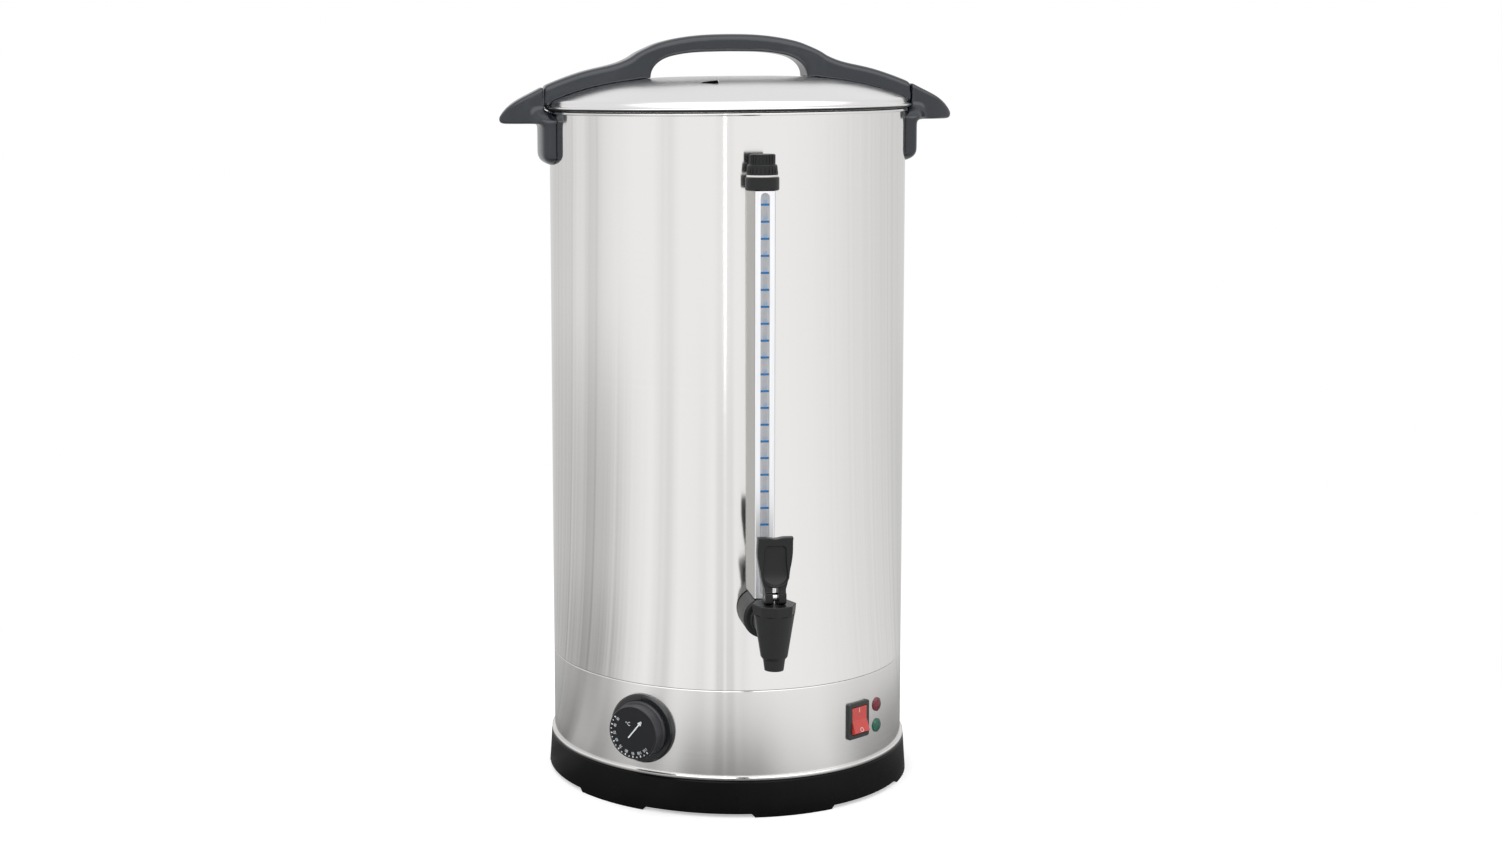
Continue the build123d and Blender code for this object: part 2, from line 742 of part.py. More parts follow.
def on_grip(out, up):
    """A point of the grip's outline from shares of its length and its height."""
    length = handle_tip_radius - side_handle_root
    return side_handle_root + out * length, grip_floor + up * (grip_root_height - grip_floor)


def grip_wedge():
    """The grip of a side handle: flat at the lid's end, falling and drawing in to a rounded tip."""
    root = side_handle_root
    back = tank_radius - 3
    top = Spline(*[on_grip(*share) for share in grip_crest_line])
    nose = ThreePointArc(*[on_grip(*share) for share in grip_nose_line])
    rest = Polyline(nose @ 1, (back, grip_floor), (back, rim_height), (root, rim_height), top @ 0)
    half = end_half_width
    waist = on_grip(grip_waist_share, 0)[0]
    draw_in = on_grip(grip_draw_in_share, 0)[0]
    rim = Spline((waist, half - 0.3), (draw_in, 0.7 * half), (handle_tip_radius, 0), (draw_in, -0.7 * half),
                 (waist, 0.3 - half), tangents=[(1, 0), (-1, 0)])
    sides = Polyline((waist, 0.3 - half), (back, -half), (back, half), (waist, half - 0.3))
    wedge = slab(Plane.XZ, make_face(top + nose + rest), half) & extrude(make_face(rim + sides), well_above)
    shoulders = [edge for edge in wedge.edges() if edge.length > 0.8 * handle_reach]
    return fillet(shoulders, wedge_edge_radius)


def handle_bracket():
    """The round-ended plate under a grip, which stands on the shell and takes the two screws."""
    tall = grip_floor - bracket_bottom + 2 * bracket_corner_radius
    outline = RectangleRounded(bracket_width, tall, bracket_corner_radius)
    outline = Pos(0, bracket_bottom + tall / 2) * outline
    plate = extrude(Plane.YZ.offset(tank_radius - 3) * outline, bracket_depth + 3)
    plate = chamfer(plate.faces().sort_by(Axis.X)[-1].edges(), bracket_chamfer)
    return plate & Box(well_above, well_above, 2 * grip_floor + 4)


def side_handle(side):
    """A side handle: the grip and its bracket in one moulding, hollowed to the shell and the rolled rim."""
    handle = grip_wedge() + handle_bracket() - rod(tank_radius, 0, well_above)
    rim_radius = tank_bore + 2 * rim_bead_radius
    handle -= rod(rim_radius + running_gap, rim_height - 2 * rim_bead_radius - 0.5, well_above)
    for height in handle_screw_heights:
        handle -= facing(90, height) * rod(handle_screw_radius, 0, tank_radius + handle_screw_depth)
    return handle if side > 0 else Rot(0, 0, 180) * handle


def side_handle_screws():
    """Pan head screws from inside the tank into the two brackets."""
    seat = tank_bore - 0.2
    thread = rod(handle_screw_radius, seat, tank_radius + handle_screw_depth)
    screw = rod(handle_screw_head, seat - 3, seat) + thread
    return Compound([facing(azimuth, height) * screw for azimuth in (90, -90)
                     for height in handle_screw_heights])


# --- Lid -------------------------------------------------------------------------------------------

def dome_height(radius):
    """The lid's outer surface: nearly flat in the middle, falling faster towards the shoulder."""
    return lid_crown_height - lid_shoulder_drop * (radius / lid_shoulder_radius) ** 3.5


def dome_line(offset):
    """The dome's outline, from the axis to the shoulder, lowered by an offset."""
    stations = [0, 0.33, 0.57, 0.73, 0.87, 1]
    points = [(lid_shoulder_radius * s, dome_height(lid_shoulder_radius * s) - offset) for s in stations]
    slope = -3.5 * lid_shoulder_drop / lid_shoulder_radius
    return Spline(*points, tangents=[(1, 0), (1, slope)])


def lid_outside():
    """The lid's outer line beyond the dome: the step, and the top of the hem."""
    shoulder = dome_height(lid_shoulder_radius)
    return [(lid_shoulder_radius, shoulder), (lid_shoulder_radius + 2.2, shoulder - 1.4),
            (lid_shoulder_radius + 3.7, lid_hem_top + 1.1), (lid_edge_radius - 1.1, lid_hem_top)]


def hem_arc():
    """The round edge of the hem."""
    middle = (lid_hem_top + lid_hem_bottom) / 2
    return ThreePointArc((lid_edge_radius - 1.1, lid_hem_top), (lid_edge_radius, middle),
                         (lid_edge_radius - 1.1, lid_hem_bottom))


def lid_filled():
    """Everything under the lid's outer surface, down to where it rests on the rim."""
    rest = Polyline((lid_edge_radius - 1.1, lid_hem_bottom), (0, lid_hem_bottom), (0, lid_crown_height))
    return revolve(Plane.XZ * make_face(dome_line(0) + Polyline(*lid_outside()) + hem_arc() + rest), Axis.Z)


def lid_hollow():
    """The space under the lid's dome."""
    shoulder = dome_height(lid_shoulder_radius) - sheet
    return revolve(Plane.XZ * make_face(dome_line(sheet) + Polyline(
        (lid_shoulder_radius, shoulder), (lid_shoulder_radius, lid_hem_top), (0, lid_hem_top),
        (0, lid_crown_height - sheet))), Axis.Z)


def lid_shell():
    """The pressed lid: dome, step, a hollow hem at the edge and a skirt that drops inside the rim."""
    shoulder = dome_height(lid_shoulder_radius)
    foot = lid_rest_height - lid_skirt_depth
    inside = Polyline(
        (lid_edge_radius - 1.1, lid_hem_bottom), (tank_radius + 1.9, lid_rest_height),
        (lid_skirt_radius, lid_rest_height), (lid_skirt_radius, foot), (lid_skirt_radius - sheet, foot),
        (lid_skirt_radius - sheet, lid_rest_height + sheet), (tank_radius + 1.6, lid_rest_height + sheet),
        (lid_edge_radius - 1.4, lid_hem_bottom + sheet), (lid_edge_radius - 1.4, lid_hem_top - sheet),
        (lid_shoulder_radius + 3.0, lid_hem_top + 1.1 - sheet), (lid_shoulder_radius + 1.5, shoulder - 2.1),
        (lid_shoulder_radius, shoulder - sheet))
    face = make_face(dome_line(0) + Polyline(*lid_outside()) + hem_arc() + inside + dome_line(sheet)
                     + Line((0, lid_crown_height - sheet), (0, lid_crown_height)))
    lid = revolve(Plane.XZ * face, Axis.Z)
    slot = extrude(SlotOverall(steam_slot_length, steam_slot_width), well_above)
    lid -= Rot(0, 0, steam_slot_azimuth) * spot(0, steam_slot_radius) * slot
    for side in (-1, 1):
        lid -= Pos(side * lid_screw_position, 0, 0) * rod(lid_screw_radius + hole_clearance, 0, well_above)
    return lid


def handle_side_view():
    """The lid handle seen from the front: the arch, the falling arms and the opening for the hand."""
    end = lid_handle_end
    crown = arch_crown_height
    fall = crown - lid_handle_end_height
    right = [(end * out, crown - fall * drop) for out, drop in arch_line] + [(end, lid_handle_end_height)]
    left = [(-x, z) for x, z in reversed(right)]
    top = Spline(*left, (0, crown), *right)
    ends = Polyline((end, lid_handle_end_height), (end, lid_hem_top - 0.7), (-end, lid_hem_top - 0.7),
                    (-end, lid_handle_end_height))
    under = crown - arch_thickness
    span = arch_half_opening
    corner = under - opening_corner_drop
    bow = [(span * out, under - opening_corner_drop * drop) for out, drop in opening_line]
    hole = Spline((-span, corner), *[(-x, z) for x, z in bow], (0, under), *reversed(bow),
                  (span, corner), tangents=[(0, 1), (0, -1)])
    base = Polyline((span, corner), (span, lid_rest_height), (-span, lid_rest_height), (-span, corner))
    return make_face(top + ends), make_face(hole + base)


def handle_plan():
    """The lid handle seen from above: slim in the middle, flared over the legs, drawn in at the ends."""
    end = lid_handle_end
    widths = (grip_half_width, leg_half_width - 3.5, leg_half_width, leg_half_width - 1.2,
              end_half_width + 2)
    half = [(0, grip_half_width)] + [(end * out, width) for out, width in zip(plan_stations, widths)]
    half += [(end, end_half_width)]
    back = Spline(*[(-x, y) for x, y in reversed(half)], *half[1:])
    front = mirror(back, Plane.XZ)
    return make_face(back + front + Line(back @ 1, front @ 1) + Line(back @ 0, front @ 0))


def lid_handle():
    """The lid's handle: an arch for the hand, flared legs, and arms that run down to the lid's edge."""
    side_view, opening = handle_side_view()
    body = slab(Plane.XZ, side_view, 2 * leg_half_width) & extrude(handle_plan(), well_above)
    crest = [edge for edge in body.edges() if edge.length > 2 * lid_handle_end]
    body = fillet(crest, handle_edge_radius)
    body -= slab(Plane.XZ, opening, 2 * leg_half_width) + lid_filled()
    for side in (-1, 1):
        top = dome_height(lid_screw_position) + lid_screw_depth + 0.5
        body -= Pos(side * lid_screw_position, 0, 0) * rod(lid_screw_radius, 0, top)
    return body


def lid_handle_washers():
    """Silicone washers between the lid and its handle screws."""
    top = dome_height(lid_screw_position)
    foot = top - sheet - lid_washer_thickness - 1
    ring = tube(lid_washer_radius, lid_screw_radius, foot, lid_crown_height)
    washer = Pos(lid_screw_position, 0, 0) * ring & lid_hollow()
    return Compound([washer, Rot(0, 0, 180) * washer])


def lid_handle_screws():
    """Two screws from under the lid into the handle's legs."""
    top = dome_height(lid_screw_position)
    seat = top - sheet - lid_washer_thickness - 1
    screw = rod(lid_screw_head, seat - 2.5, seat) + rod(lid_screw_radius, seat, top + lid_screw_depth)
    return Compound([Pos(side * lid_screw_position, 0, 0) * screw for side in (-1, 1)])


# --- Sight gauge -----------------------------------------------------------------------------------

def at_gauge(solid):
    """Moves a solid from the urn's axis to the gauge tube's axis."""
    return Pos(0, -gauge_offset, 0) * solid


def gauge_socket_radius():
    """The fitting's upright socket fits between the channel's walls."""
    return channel_width / 2 - channel_sheet - 0.15


def gauge_base_fitting():
    """The drum that the tap's shank clamps to the tank, with an upright socket for the glass."""
    back = tank_radius + gasket_thickness
    drum = rod(base_fitting_radius, back, base_fitting_front)
    drum = fillet(drum.edges().filter_by(GeomType.CIRCLE).sort_by(Axis.Z)[-1], 2.5)
    top = gauge_bottom_height + seal_height
    fitting = facing(0, tap_height) * drum + at_gauge(rod(gauge_socket_radius(), tap_height, top))
    fitting -= facing(0, tap_height) * through_wall(shank_radius + shaft_clearance)
    fitting -= at_gauge(rod(shank_bore / 2, tap_height, top))
    fitting -= at_gauge(rod(gauge_tube_radius + shaft_clearance, gauge_tube_foot() - 0.5, top + 1))
    fitting -= at_gauge(rod(gauge_tube_radius + seal_wall, top - seal_height, top + 1))
    return fitting


def gauge_tube_foot():
    """The height of the glass's lower end, in its socket above the shank."""
    return tap_height + shank_radius + 3.5


def gauge_tube_top():
    """The height of the glass's upper end, just under the vent passage to the tank."""
    return gauge_top_height + 3.4


def gauge_base_gasket():
    """The silicone gasket between the lower fitting and the tank."""
    ring = tube(base_fitting_radius - 1.5, shank_radius + shaft_clearance, well_inside,
                tank_radius + gasket_thickness)
    return outside_shell(facing(0, tap_height) * ring)


def window_outline(lap):
    """The window in the channel, seen from the front, grown by a lap all round and carried outwards."""
    tall = gauge_top_height - gauge_bottom_height - 4
    outline = SlotOverall(tall + 2 * lap, slot_width + 2 * lap, rotation=90)
    return facing(0, (gauge_bottom_height + gauge_top_height + 1.4) / 2) * extrude(outline, well_outside)


def gauge_window():
    """The clear strip behind the channel's window, which carries the scale."""
    face = channel_front - channel_sheet
    strip = block(channel_width, 2 * face, 0, well_above)
    strip -= block(channel_width, 2 * (face - window_thickness), 0, well_above)
    return strip & window_outline(window_lap)


def gauge_channel():
    """The folded stainless steel guard round the glass, with a long window in front."""
    outer = block(channel_width, 2 * channel_front, gauge_bottom_height, gauge_top_height)
    outer = fillet(outer.edges().filter_by(Axis.Z).group_by(Axis.Y)[0], 1.4)
    inner = block(channel_width - 2 * channel_sheet, 2 * (channel_front - channel_sheet), 0, well_above)
    front_half = Pos(0, -well_outside, 0) * block(channel_width, 2 * well_outside, 0, well_above)
    return outside_shell((outer - inner) & front_half) - window_outline(0)


def gauge_tube():
    """The sight glass."""
    bore = gauge_tube_radius - gauge_tube_wall
    return at_gauge(tube(gauge_tube_radius, bore, gauge_tube_foot(), gauge_tube_top()))


def gauge_tube_seals():
    """Silicone rings at both ends of the glass."""
    outer = gauge_tube_radius + seal_wall
    lower = tube(outer, gauge_tube_radius, gauge_bottom_height, gauge_bottom_height + seal_height)
    upper = tube(outer, gauge_tube_radius, gauge_top_height, gauge_tube_top())
    return Compound([at_gauge(lower), at_gauge(upper)])


def spigot_top():
    """The top of the threaded neck inside the cap."""
    return cap_bottom + 5.2


def gauge_top_fitting():
    """The round fitting on top of the channel: a neck for the cap and a stub through the tank wall."""
    fitting = turned([(0, gauge_top_height), (collar_radius - 0.8, gauge_top_height),
                      (collar_radius, gauge_top_height + 0.8), (collar_radius, collar_top - 0.8),
                      (collar_radius - 0.8, collar_top), (spigot_radius, collar_top),
                      (spigot_radius, spigot_top()), (0, spigot_top())], -gauge_offset)
    flange = rod(stub_flange_radius, tank_radius + stub_gasket, tank_radius + stub_gasket + 2)
    stub = rod(stub_radius, tank_radius - stub_inside, gauge_offset)
    fitting += facing(0, stub_height()) * (stub + flange)
    fitting -= at_gauge(rod(gauge_tube_radius + 0.6, gauge_top_height - 1, spigot_top() + 1))
    fitting -= at_gauge(rod(gauge_tube_radius + seal_wall, gauge_top_height - 1, gauge_tube_top()))
    fitting -= facing(0, stub_height()) * rod(stub_bore, well_inside, gauge_offset)
    return fitting


def gauge_top_gasket():
    """The silicone gasket under the top stub's flange."""
    ring = tube(stub_flange_radius - 0.4, stub_radius, well_inside, tank_radius + stub_gasket)
    return outside_shell(facing(0, stub_height()) * ring)


def gauge_top_nut():
    """The nut on the top stub, inside the tank."""
    nut = hexagon(stub_nut_flats, tank_bore - stub_nut_thickness, well_outside)
    nut -= rod(stub_radius, 0, well_above)
    return inside_shell(facing(0, stub_height()) * nut)


def gauge_cap_seal():
    """The pale washer that shows under the cap."""
    return at_gauge(tube(cap_skirt_radius - 0.2, spigot_radius, collar_top, collar_top + cap_seal_thickness))


def gauge_cap():
    """The screw cap: a ribbed skirt and a knurled top."""
    skirt = cap_skirt_radius
    knob = cap_knob_radius
    cap = turned([(0, cap_bottom), (skirt, cap_bottom), (skirt - 0.8, cap_shoulder - 0.7),
                  (skirt - 1.4, cap_shoulder), (knob, cap_shoulder), (knob, cap_top - 0.7),
                  (knob - 0.7, cap_top), (0, cap_top)])
    low_groove = Pos(skirt, 0, cap_bottom + 1.2) * Box(1.6, 1.3, cap_skirt_height - 2.4, align=SEATED)
    high_groove = Pos(knob, 0, cap_shoulder + 0.9) * Box(1.0, 1.1, cap_knob_height, align=SEATED)
    cap -= around(low_groove, cap_rib_count)
    cap -= around(high_groove, cap_rib_count, 180 / cap_rib_count)
    cap -= rod(spigot_radius + running_gap, cap_bottom - 1, spigot_top() + 0.5)
    return at_gauge(cap)


# --- Tap -------------------------------------------------------------------------------------------

def at_tap(solid):
    """Moves a solid from the urn's axis to the tap's upright axis."""
    return Pos(0, -tap_offset, 0) * solid


def tap_body():
    """The tapered body: valve chamber, seat and spout, and the threaded shank back into the tank."""
    body = turned([(0, spout_tip_height), (spout_tip_radius, spout_tip_height),
                   (spout_top_radius, body_foot_height - 2.5), (body_foot_radius, body_foot_height),
                   (body_top_radius, bonnet_bottom), (0, bonnet_bottom)], -tap_offset)
    shank = rod(shank_radius, tank_radius - shank_inside, tap_offset)
    collar = rod(tap_collar_radius, base_fitting_front, base_fitting_front + tap_collar_length)
    web = rod(shank_radius + 2.5, base_fitting_front, tap_offset)
    body += facing(0, tap_height) * (shank + fillet(collar.edges().filter_by(GeomType.CIRCLE), 1) + web)
    body -= at_tap(rod(chamber_radius, seat_height, bonnet_bottom + 1))
    body += at_tap(rod(seat_bore + seat_rim, seat_height - 1, seat_height + seat_rim))
    body -= at_tap(rod(seat_bore, body_foot_height, seat_height + seat_rim + 1))
    body -= at_tap(rod(spout_bore, spout_tip_height - 1, body_foot_height + 2))
    body -= facing(0, tap_height) * rod(shank_bore, well_inside, tap_offset)
    body -= at_gauge(rod(shank_bore / 2, tap_height, tap_height + shank_radius + 2))
    return body


def tap_shank_washer():
    """The silicone washer under the shank's nut, shaped to the tank's wall."""
    ring = tube(tap_nut_flats / 2 + 1, shank_radius, tank_bore - tap_washer_thickness, well_outside)
    return inside_shell(facing(0, tap_height) * ring)


def tap_shank_nut():
    """The hexagon nut that clamps the tap and the gauge fitting to the tank."""
    front = tank_bore - tap_washer_thickness
    nut = hexagon(tap_nut_flats, front - tap_nut_thickness, front) - rod(shank_radius, 0, well_outside)
    return facing(0, tap_height) * nut


def tap_bonnet():
    """The eight-sided bonnet: a guide for the stem, a pocket for the spring and the track for the cams."""
    foot = Pos(0, 0, bonnet_bottom) * RegularPolygon(bonnet_root_radius, 8)
    brim = Pos(0, 0, bonnet_top - 3.2) * RegularPolygon(bonnet_corner_radius - 0.3, 8)
    crown = Pos(0, 0, bonnet_top) * RegularPolygon(bonnet_corner_radius, 8)
    bonnet = loft([foot, brim]) + loft([brim, crown])
    bonnet = chamfer(bonnet.faces().sort_by(Axis.Z)[-1].edges(), 0.6)
    bonnet += rod(chamber_radius - 0.1, bonnet_bottom - 5, bonnet_bottom)
    bonnet -= rod(spring_radius + spring_wire + 0.5, bonnet_bottom - 6, spring_ceiling())
    bonnet -= rod(stem_radius + stem_guide_clearance, bonnet_bottom - 6, bonnet_top + 1)
    return at_tap(bonnet)


def spring_ceiling():
    """The roof of the bonnet's spring pocket."""
    return bonnet_bottom + 1.5


def tap_spring():
    """The coil spring that presses the cup onto its seat."""
    low = spring_bottom + stem_flange_thickness + spring_wire
    high = spring_ceiling() - spring_wire
    pitch = (high - low) / spring_turns
    coil = Helix(pitch, high - low, spring_radius, center=(0, 0, low))
    wire = sweep(Plane(origin=coil @ 0, z_dir=coil % 0) * Circle(spring_wire), path=coil, is_frenet=True)
    return at_tap(wire)


def tap_stem():
    """The stainless steel stem: a flange on the cup, a rod through the bonnet and an eye for the pin."""
    stem = rod(stem_radius, cup_bottom + cup_floor, pin_height)
    stem += rod(stem_flange_radius, spring_bottom, spring_bottom + stem_flange_thickness)
    stem += crossways(pin_height) * Cylinder(stem_eye_radius, lever_gap - 2 * running_gap)
    stem -= crossways(pin_height) * Cylinder(pin_radius + pin_clearance, lever_leg_width)
    return at_tap(stem)


def tap_seat_cup():
    """The silicone cup on the stem's foot, which closes the seat."""
    floor = cup_bottom + cup_floor
    return turned([(0, cup_bottom), (cup_radius, cup_bottom), (cup_radius - 0.6, spring_bottom),
                   (stem_radius, spring_bottom), (stem_radius, floor), (0, floor)], -tap_offset)


def cam_line():
    """The cam under each leg: its height under the pin grows in step with the lever's angle.

    For a lever angle t the contact lies forward by h sin t + r cos t and down by h cos t - r sin t,
    where r is the rise per radian and h is the rest height plus r t.
    """
    points = []
    steps = 6
    for i in range(steps + 1):
        turn = radians(lever_swing) * i / steps
        height = cam_rest_height + cam_rise * turn
        forward = height * sin(turn) + cam_rise * cos(turn)
        points.append((forward, cam_rise * sin(turn) - height * cos(turn)))
    return points


def lever_side_view():
    """The lever from the side, forward of and above its pin: cam foot, leaning legs and thin paddle."""
    cam = cam_line()
    toe = cam[-1]
    neck = lever_neck_rise
    top = lever_top_rise
    waist = neck + 14
    thin = lever_thickness
    crest = ThreePointArc((7.6, top), (6.9 - thin / 2, top + 1.1), (6.2 - thin, top))
    front = Spline((toe[0] + 0.3, 2), (6.2, neck), (4.6, waist), (7.6, top), tangents=[(0, 1), (0.3, 1)])
    back = Spline((6.2 - thin, top), (3.3 - thin, waist), (0.8 - lever_leg_back, neck - 2),
                  (-lever_leg_back, 1), tangents=[(-0.25, -1), (0, -1)])
    heel = Polyline((-lever_leg_back, 1), (-lever_leg_back, 1 - cam_rest_height),
                    (1 - lever_leg_back, -cam_rest_height), cam[0])
    return make_face(heel + Spline(*cam) + Line(toe, (toe[0] + 0.3, 2)) + front + crest + back)


def lever_front_view():
    """The lever from the front: straight legs, a slight neck and a paddle that widens to a wavy crest."""
    neck = lever_neck_rise
    top = lever_top_rise + 2
    leg = lever_leg_width / 2
    narrow = lever_neck_width / 2
    wide = lever_top_width / 2
    right = Spline((narrow, neck), (narrow + 2.6, neck + 14), (wide, top), tangents=[(0, 1), (0.1, 1)])
    crest = Spline((wide, top), (wide / 2, top - 1), (0, top - 2.6), (-wide / 2, top - 1), (-wide, top))
    foot = Polyline((-narrow, neck), (-leg, neck - 3), (-leg, -cam_rest_height - 1),
                    (leg, -cam_rest_height - 1), (leg, neck - 3), (narrow, neck))
    return make_face(right + crest + mirror(right, Plane.YZ) + foot)


def leg_front_view():
    """What lies before the legs, from the side: the paddle's lip stands one step in front of them."""
    foot = 4.5
    waist = lever_neck_rise + 8
    line = [(7.9 - lever_step, foot), (6.2 - lever_step, lever_neck_rise), (4.9 - lever_step, waist)]
    return make_face(Spline(*line) + Polyline(line[-1], (20, waist), (20, foot), line[0]))


def lip_view():
    """The paddle's lower end from the front: it draws in to a round lip over the gap between the legs."""
    top = lever_top_rise
    side = [(10.8, lever_neck_rise + 8), (8.6, lever_neck_rise), (5.2, lip_rise + 2), (0, lip_rise)]
    right = Spline(*side, tangents=[(-0.2, -1), (-1, 0)])
    rim = Polyline(side[0], (20, top), (-20, top), (-side[0][0], side[0][1]))
    return make_face(right + mirror(right, Plane.YZ) + rim)


def from_side(face, half):
    """A solid from a drawing of the lever's side view, forward of and above its pin."""
    return slab(Plane(origin=(0, -tap_offset, pin_height), x_dir=(0, -1, 0), z_dir=(-1, 0, 0)), face, half)


def from_front(face):
    """A solid from a drawing of the lever's front view, across and above its pin."""
    plane = Plane(origin=(0, -tap_offset, pin_height), x_dir=(1, 0, 0), z_dir=(0, -1, 0))
    return slab(plane, face, lever_top_rise)


def thumb_rest():
    """The hollow in the paddle: a flat-topped outline with a round foot, and a floor that runs out there."""
    foot = rest_foot_rise
    top = rest_top_rise
    half = rest_half_width
    floor = Spline((6.9, foot), (5.6 - rest_depth, foot + 8), (4.6 - rest_depth, 28),
                   (5.4 - rest_depth, 38), (6.6 - rest_depth, top))
    rest = from_side(make_face(floor + Polyline(floor @ 1, (20, top), (20, foot), floor @ 0)), half)
    round_foot = ThreePointArc((half, foot + half), (0, foot), (-half, foot + half))
    rim = Polyline((-half, foot + half), (-half, top - 2), (2 - half, top), (half - 2, top), (half, top - 2),
                   (half, foot + half))
    return rest & from_front(make_face(round_foot + rim))


def tap_lever():
    """The lever: two cam-footed legs astride the stem, and a paddle hollowed for the thumb."""
    lever = from_side(lever_side_view(), lever_top_width) & from_front(lever_front_view())
    lever -= from_side(leg_front_view(), lever_top_width) - from_front(lip_view())
    lever -= thumb_rest()
    gap_foot = pin_height - 2 * cam_rest_height
    lever -= at_tap(block(lever_gap, 2 * lever_leg_width, gap_foot, pin_height + lever_gap_rise))
    return lever - crossways(pin_height, -tap_offset) * Cylinder(pin_radius, lever_top_width)


def tap_lever_pin():
    """The pin through the lever's legs and the stem's eye."""
    return crossways(pin_height, -tap_offset) * Cylinder(pin_radius, lever_leg_width - 0.6)


# --- Output ----------------------------------------------------------------------------------------

def parts():
    """Every sub-part by its node's name."""
    return {
        "base_ring": base_ring(),
        "bottom_plate": bottom_plate(),
        "bottom_plate_screws": bottom_plate_screws(),
        "tie_rods": tie_rods(),
        "tie_rod_nuts": tie_rod_nuts(),
        "base_band": base_band(),
        "tank": tank(),
        "heat_spreader": heat_spreader(),
        "heating_element": heating_element(),
        "boil_dry_cutout": boil_dry_cutout(),
        "thermostat_body": thermostat_body(),
        "thermostat_screws": thermostat_screws(),
        "capillary_tube": capillary_tube(),
        "terminal_block": terminal_block(),
        "knob_bezel": knob_bezel(),
        "thermostat_knob": thermostat_knob(),
        "thermostat_shaft": thermostat_shaft(),
        "switch_housing": switch_housing(),
        "switch_terminals": switch_terminals(),
        "rocker": rocker(),
        "lamp_red": lamp(red_lamp_height),
        "lamp_green": lamp(green_lamp_height),
        "lamp_nuts": lamp_nuts(),
        "cord_gland": cord_gland(),
        "gland_nut": gland_nut(),
        "side_handle_right": side_handle(1),
        "side_handle_left": side_handle(-1),
        "side_handle_screws": side_handle_screws(),
        "lid_shell": lid_shell(),
        "lid_handle": lid_handle(),
        "lid_handle_washers": lid_handle_washers(),
        "lid_handle_screws": lid_handle_screws(),
        "gauge_base_fitting": gauge_base_fitting(),
        "gauge_base_gasket": gauge_base_gasket(),
        "gauge_channel": gauge_channel(),
        "gauge_window": gauge_window(),
        "gauge_tube": gauge_tube(),
        "gauge_tube_seals": gauge_tube_seals(),
        "gauge_top_fitting": gauge_top_fitting(),
        "gauge_top_gasket": gauge_top_gasket(),
        "gauge_top_nut": gauge_top_nut(),
        "gauge_cap_seal": gauge_cap_seal(),
        "gauge_cap": gauge_cap(),
        "tap_body": tap_body(),
        "tap_shank_washer": tap_shank_washer(),
        "tap_shank_nut": tap_shank_nut(),
        "tap_bonnet": tap_bonnet(),
        "tap_spring": tap_spring(),
        "tap_stem": tap_stem(),
        "tap_seat_cup": tap_seat_cup(),
        "tap_lever": tap_lever(),
        "tap_lever_pin": tap_lever_pin(),
    }


os.makedirs("parts", exist_ok=True)
for name, shape in parts().items():
    export_step(shape, f"parts/{name}.step")
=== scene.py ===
from math import cos, pi, radians, sin

import bmesh
import bpy
import numpy as np
from mathutils import Matrix, Vector


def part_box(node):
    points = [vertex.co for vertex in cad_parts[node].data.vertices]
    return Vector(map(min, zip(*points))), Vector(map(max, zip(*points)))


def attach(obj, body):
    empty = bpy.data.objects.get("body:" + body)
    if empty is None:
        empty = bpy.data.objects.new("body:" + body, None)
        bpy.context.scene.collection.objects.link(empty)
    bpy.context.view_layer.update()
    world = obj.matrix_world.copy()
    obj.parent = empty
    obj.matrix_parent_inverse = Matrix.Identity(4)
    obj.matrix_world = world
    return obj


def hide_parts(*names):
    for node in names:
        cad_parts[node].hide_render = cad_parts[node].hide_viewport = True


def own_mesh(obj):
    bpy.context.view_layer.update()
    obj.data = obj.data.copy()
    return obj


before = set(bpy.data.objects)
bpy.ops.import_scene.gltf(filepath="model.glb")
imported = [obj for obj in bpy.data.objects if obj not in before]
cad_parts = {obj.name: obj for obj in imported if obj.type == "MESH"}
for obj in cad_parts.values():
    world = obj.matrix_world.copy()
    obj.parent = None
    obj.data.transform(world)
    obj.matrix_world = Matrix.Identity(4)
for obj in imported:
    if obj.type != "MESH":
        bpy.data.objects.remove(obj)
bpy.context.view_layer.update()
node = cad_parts

# --- Camera and studio -----------------------------------------------------------------------------
# The camera stands a little to the left of the tap and just above the rim. The studio is white, with a
# pale floor that keeps the shadow and wide soft boxes that the steel mirrors.


def placed(name, data):
    """A new object in the scene, with that mesh, lamp or camera."""
    made = bpy.data.objects.new(name, data)
    bpy.context.scene.collection.objects.link(made)
    return made


camera_place = (-0.31221, -1.90960, 0.61739)
camera_yaw, camera_pitch, camera_roll = 0.0715, 0.1197, -0.01087
camera = placed("camera", bpy.data.cameras.new("camera"))
camera.data.lens, camera.data.sensor_width = 53.308, 36.0
camera.data.shift_x, camera.data.shift_y = 0.15, -0.06
turn = (Matrix.Rotation(-camera_yaw, 4, "Z") @ Matrix.Rotation(pi / 2 - camera_pitch, 4, "X")
        @ Matrix.Rotation(camera_roll, 4, "Z"))
camera.matrix_world = Matrix.Translation(camera_place) @ turn
bpy.context.scene.camera = camera
bpy.context.scene.view_settings.view_transform = "Standard"


def emptied(owner):
    """The node tree of a material or the world, with no node in it."""
    owner.use_nodes = True
    owner.node_tree.nodes.clear()
    return owner.node_tree


def add_node(tree, kind, sockets=None, **settings):
    """A new node: a number or colour is set on its socket, and another node's socket is linked to it."""
    made = tree.nodes.new(kind)
    for key, value in settings.items():
        setattr(made, key, value)
    for key, value in (sockets or {}).items():
        if isinstance(value, bpy.types.NodeSocket):
            tree.links.new(value, made.inputs[key])
        else:
            made.inputs[key].default_value = value
    return made


def arithmetic(tree, operation, *values):
    """The result of a Math node on sockets or numbers."""
    return add_node(tree, "ShaderNodeMath", dict(enumerate(values)), operation=operation).outputs[0]


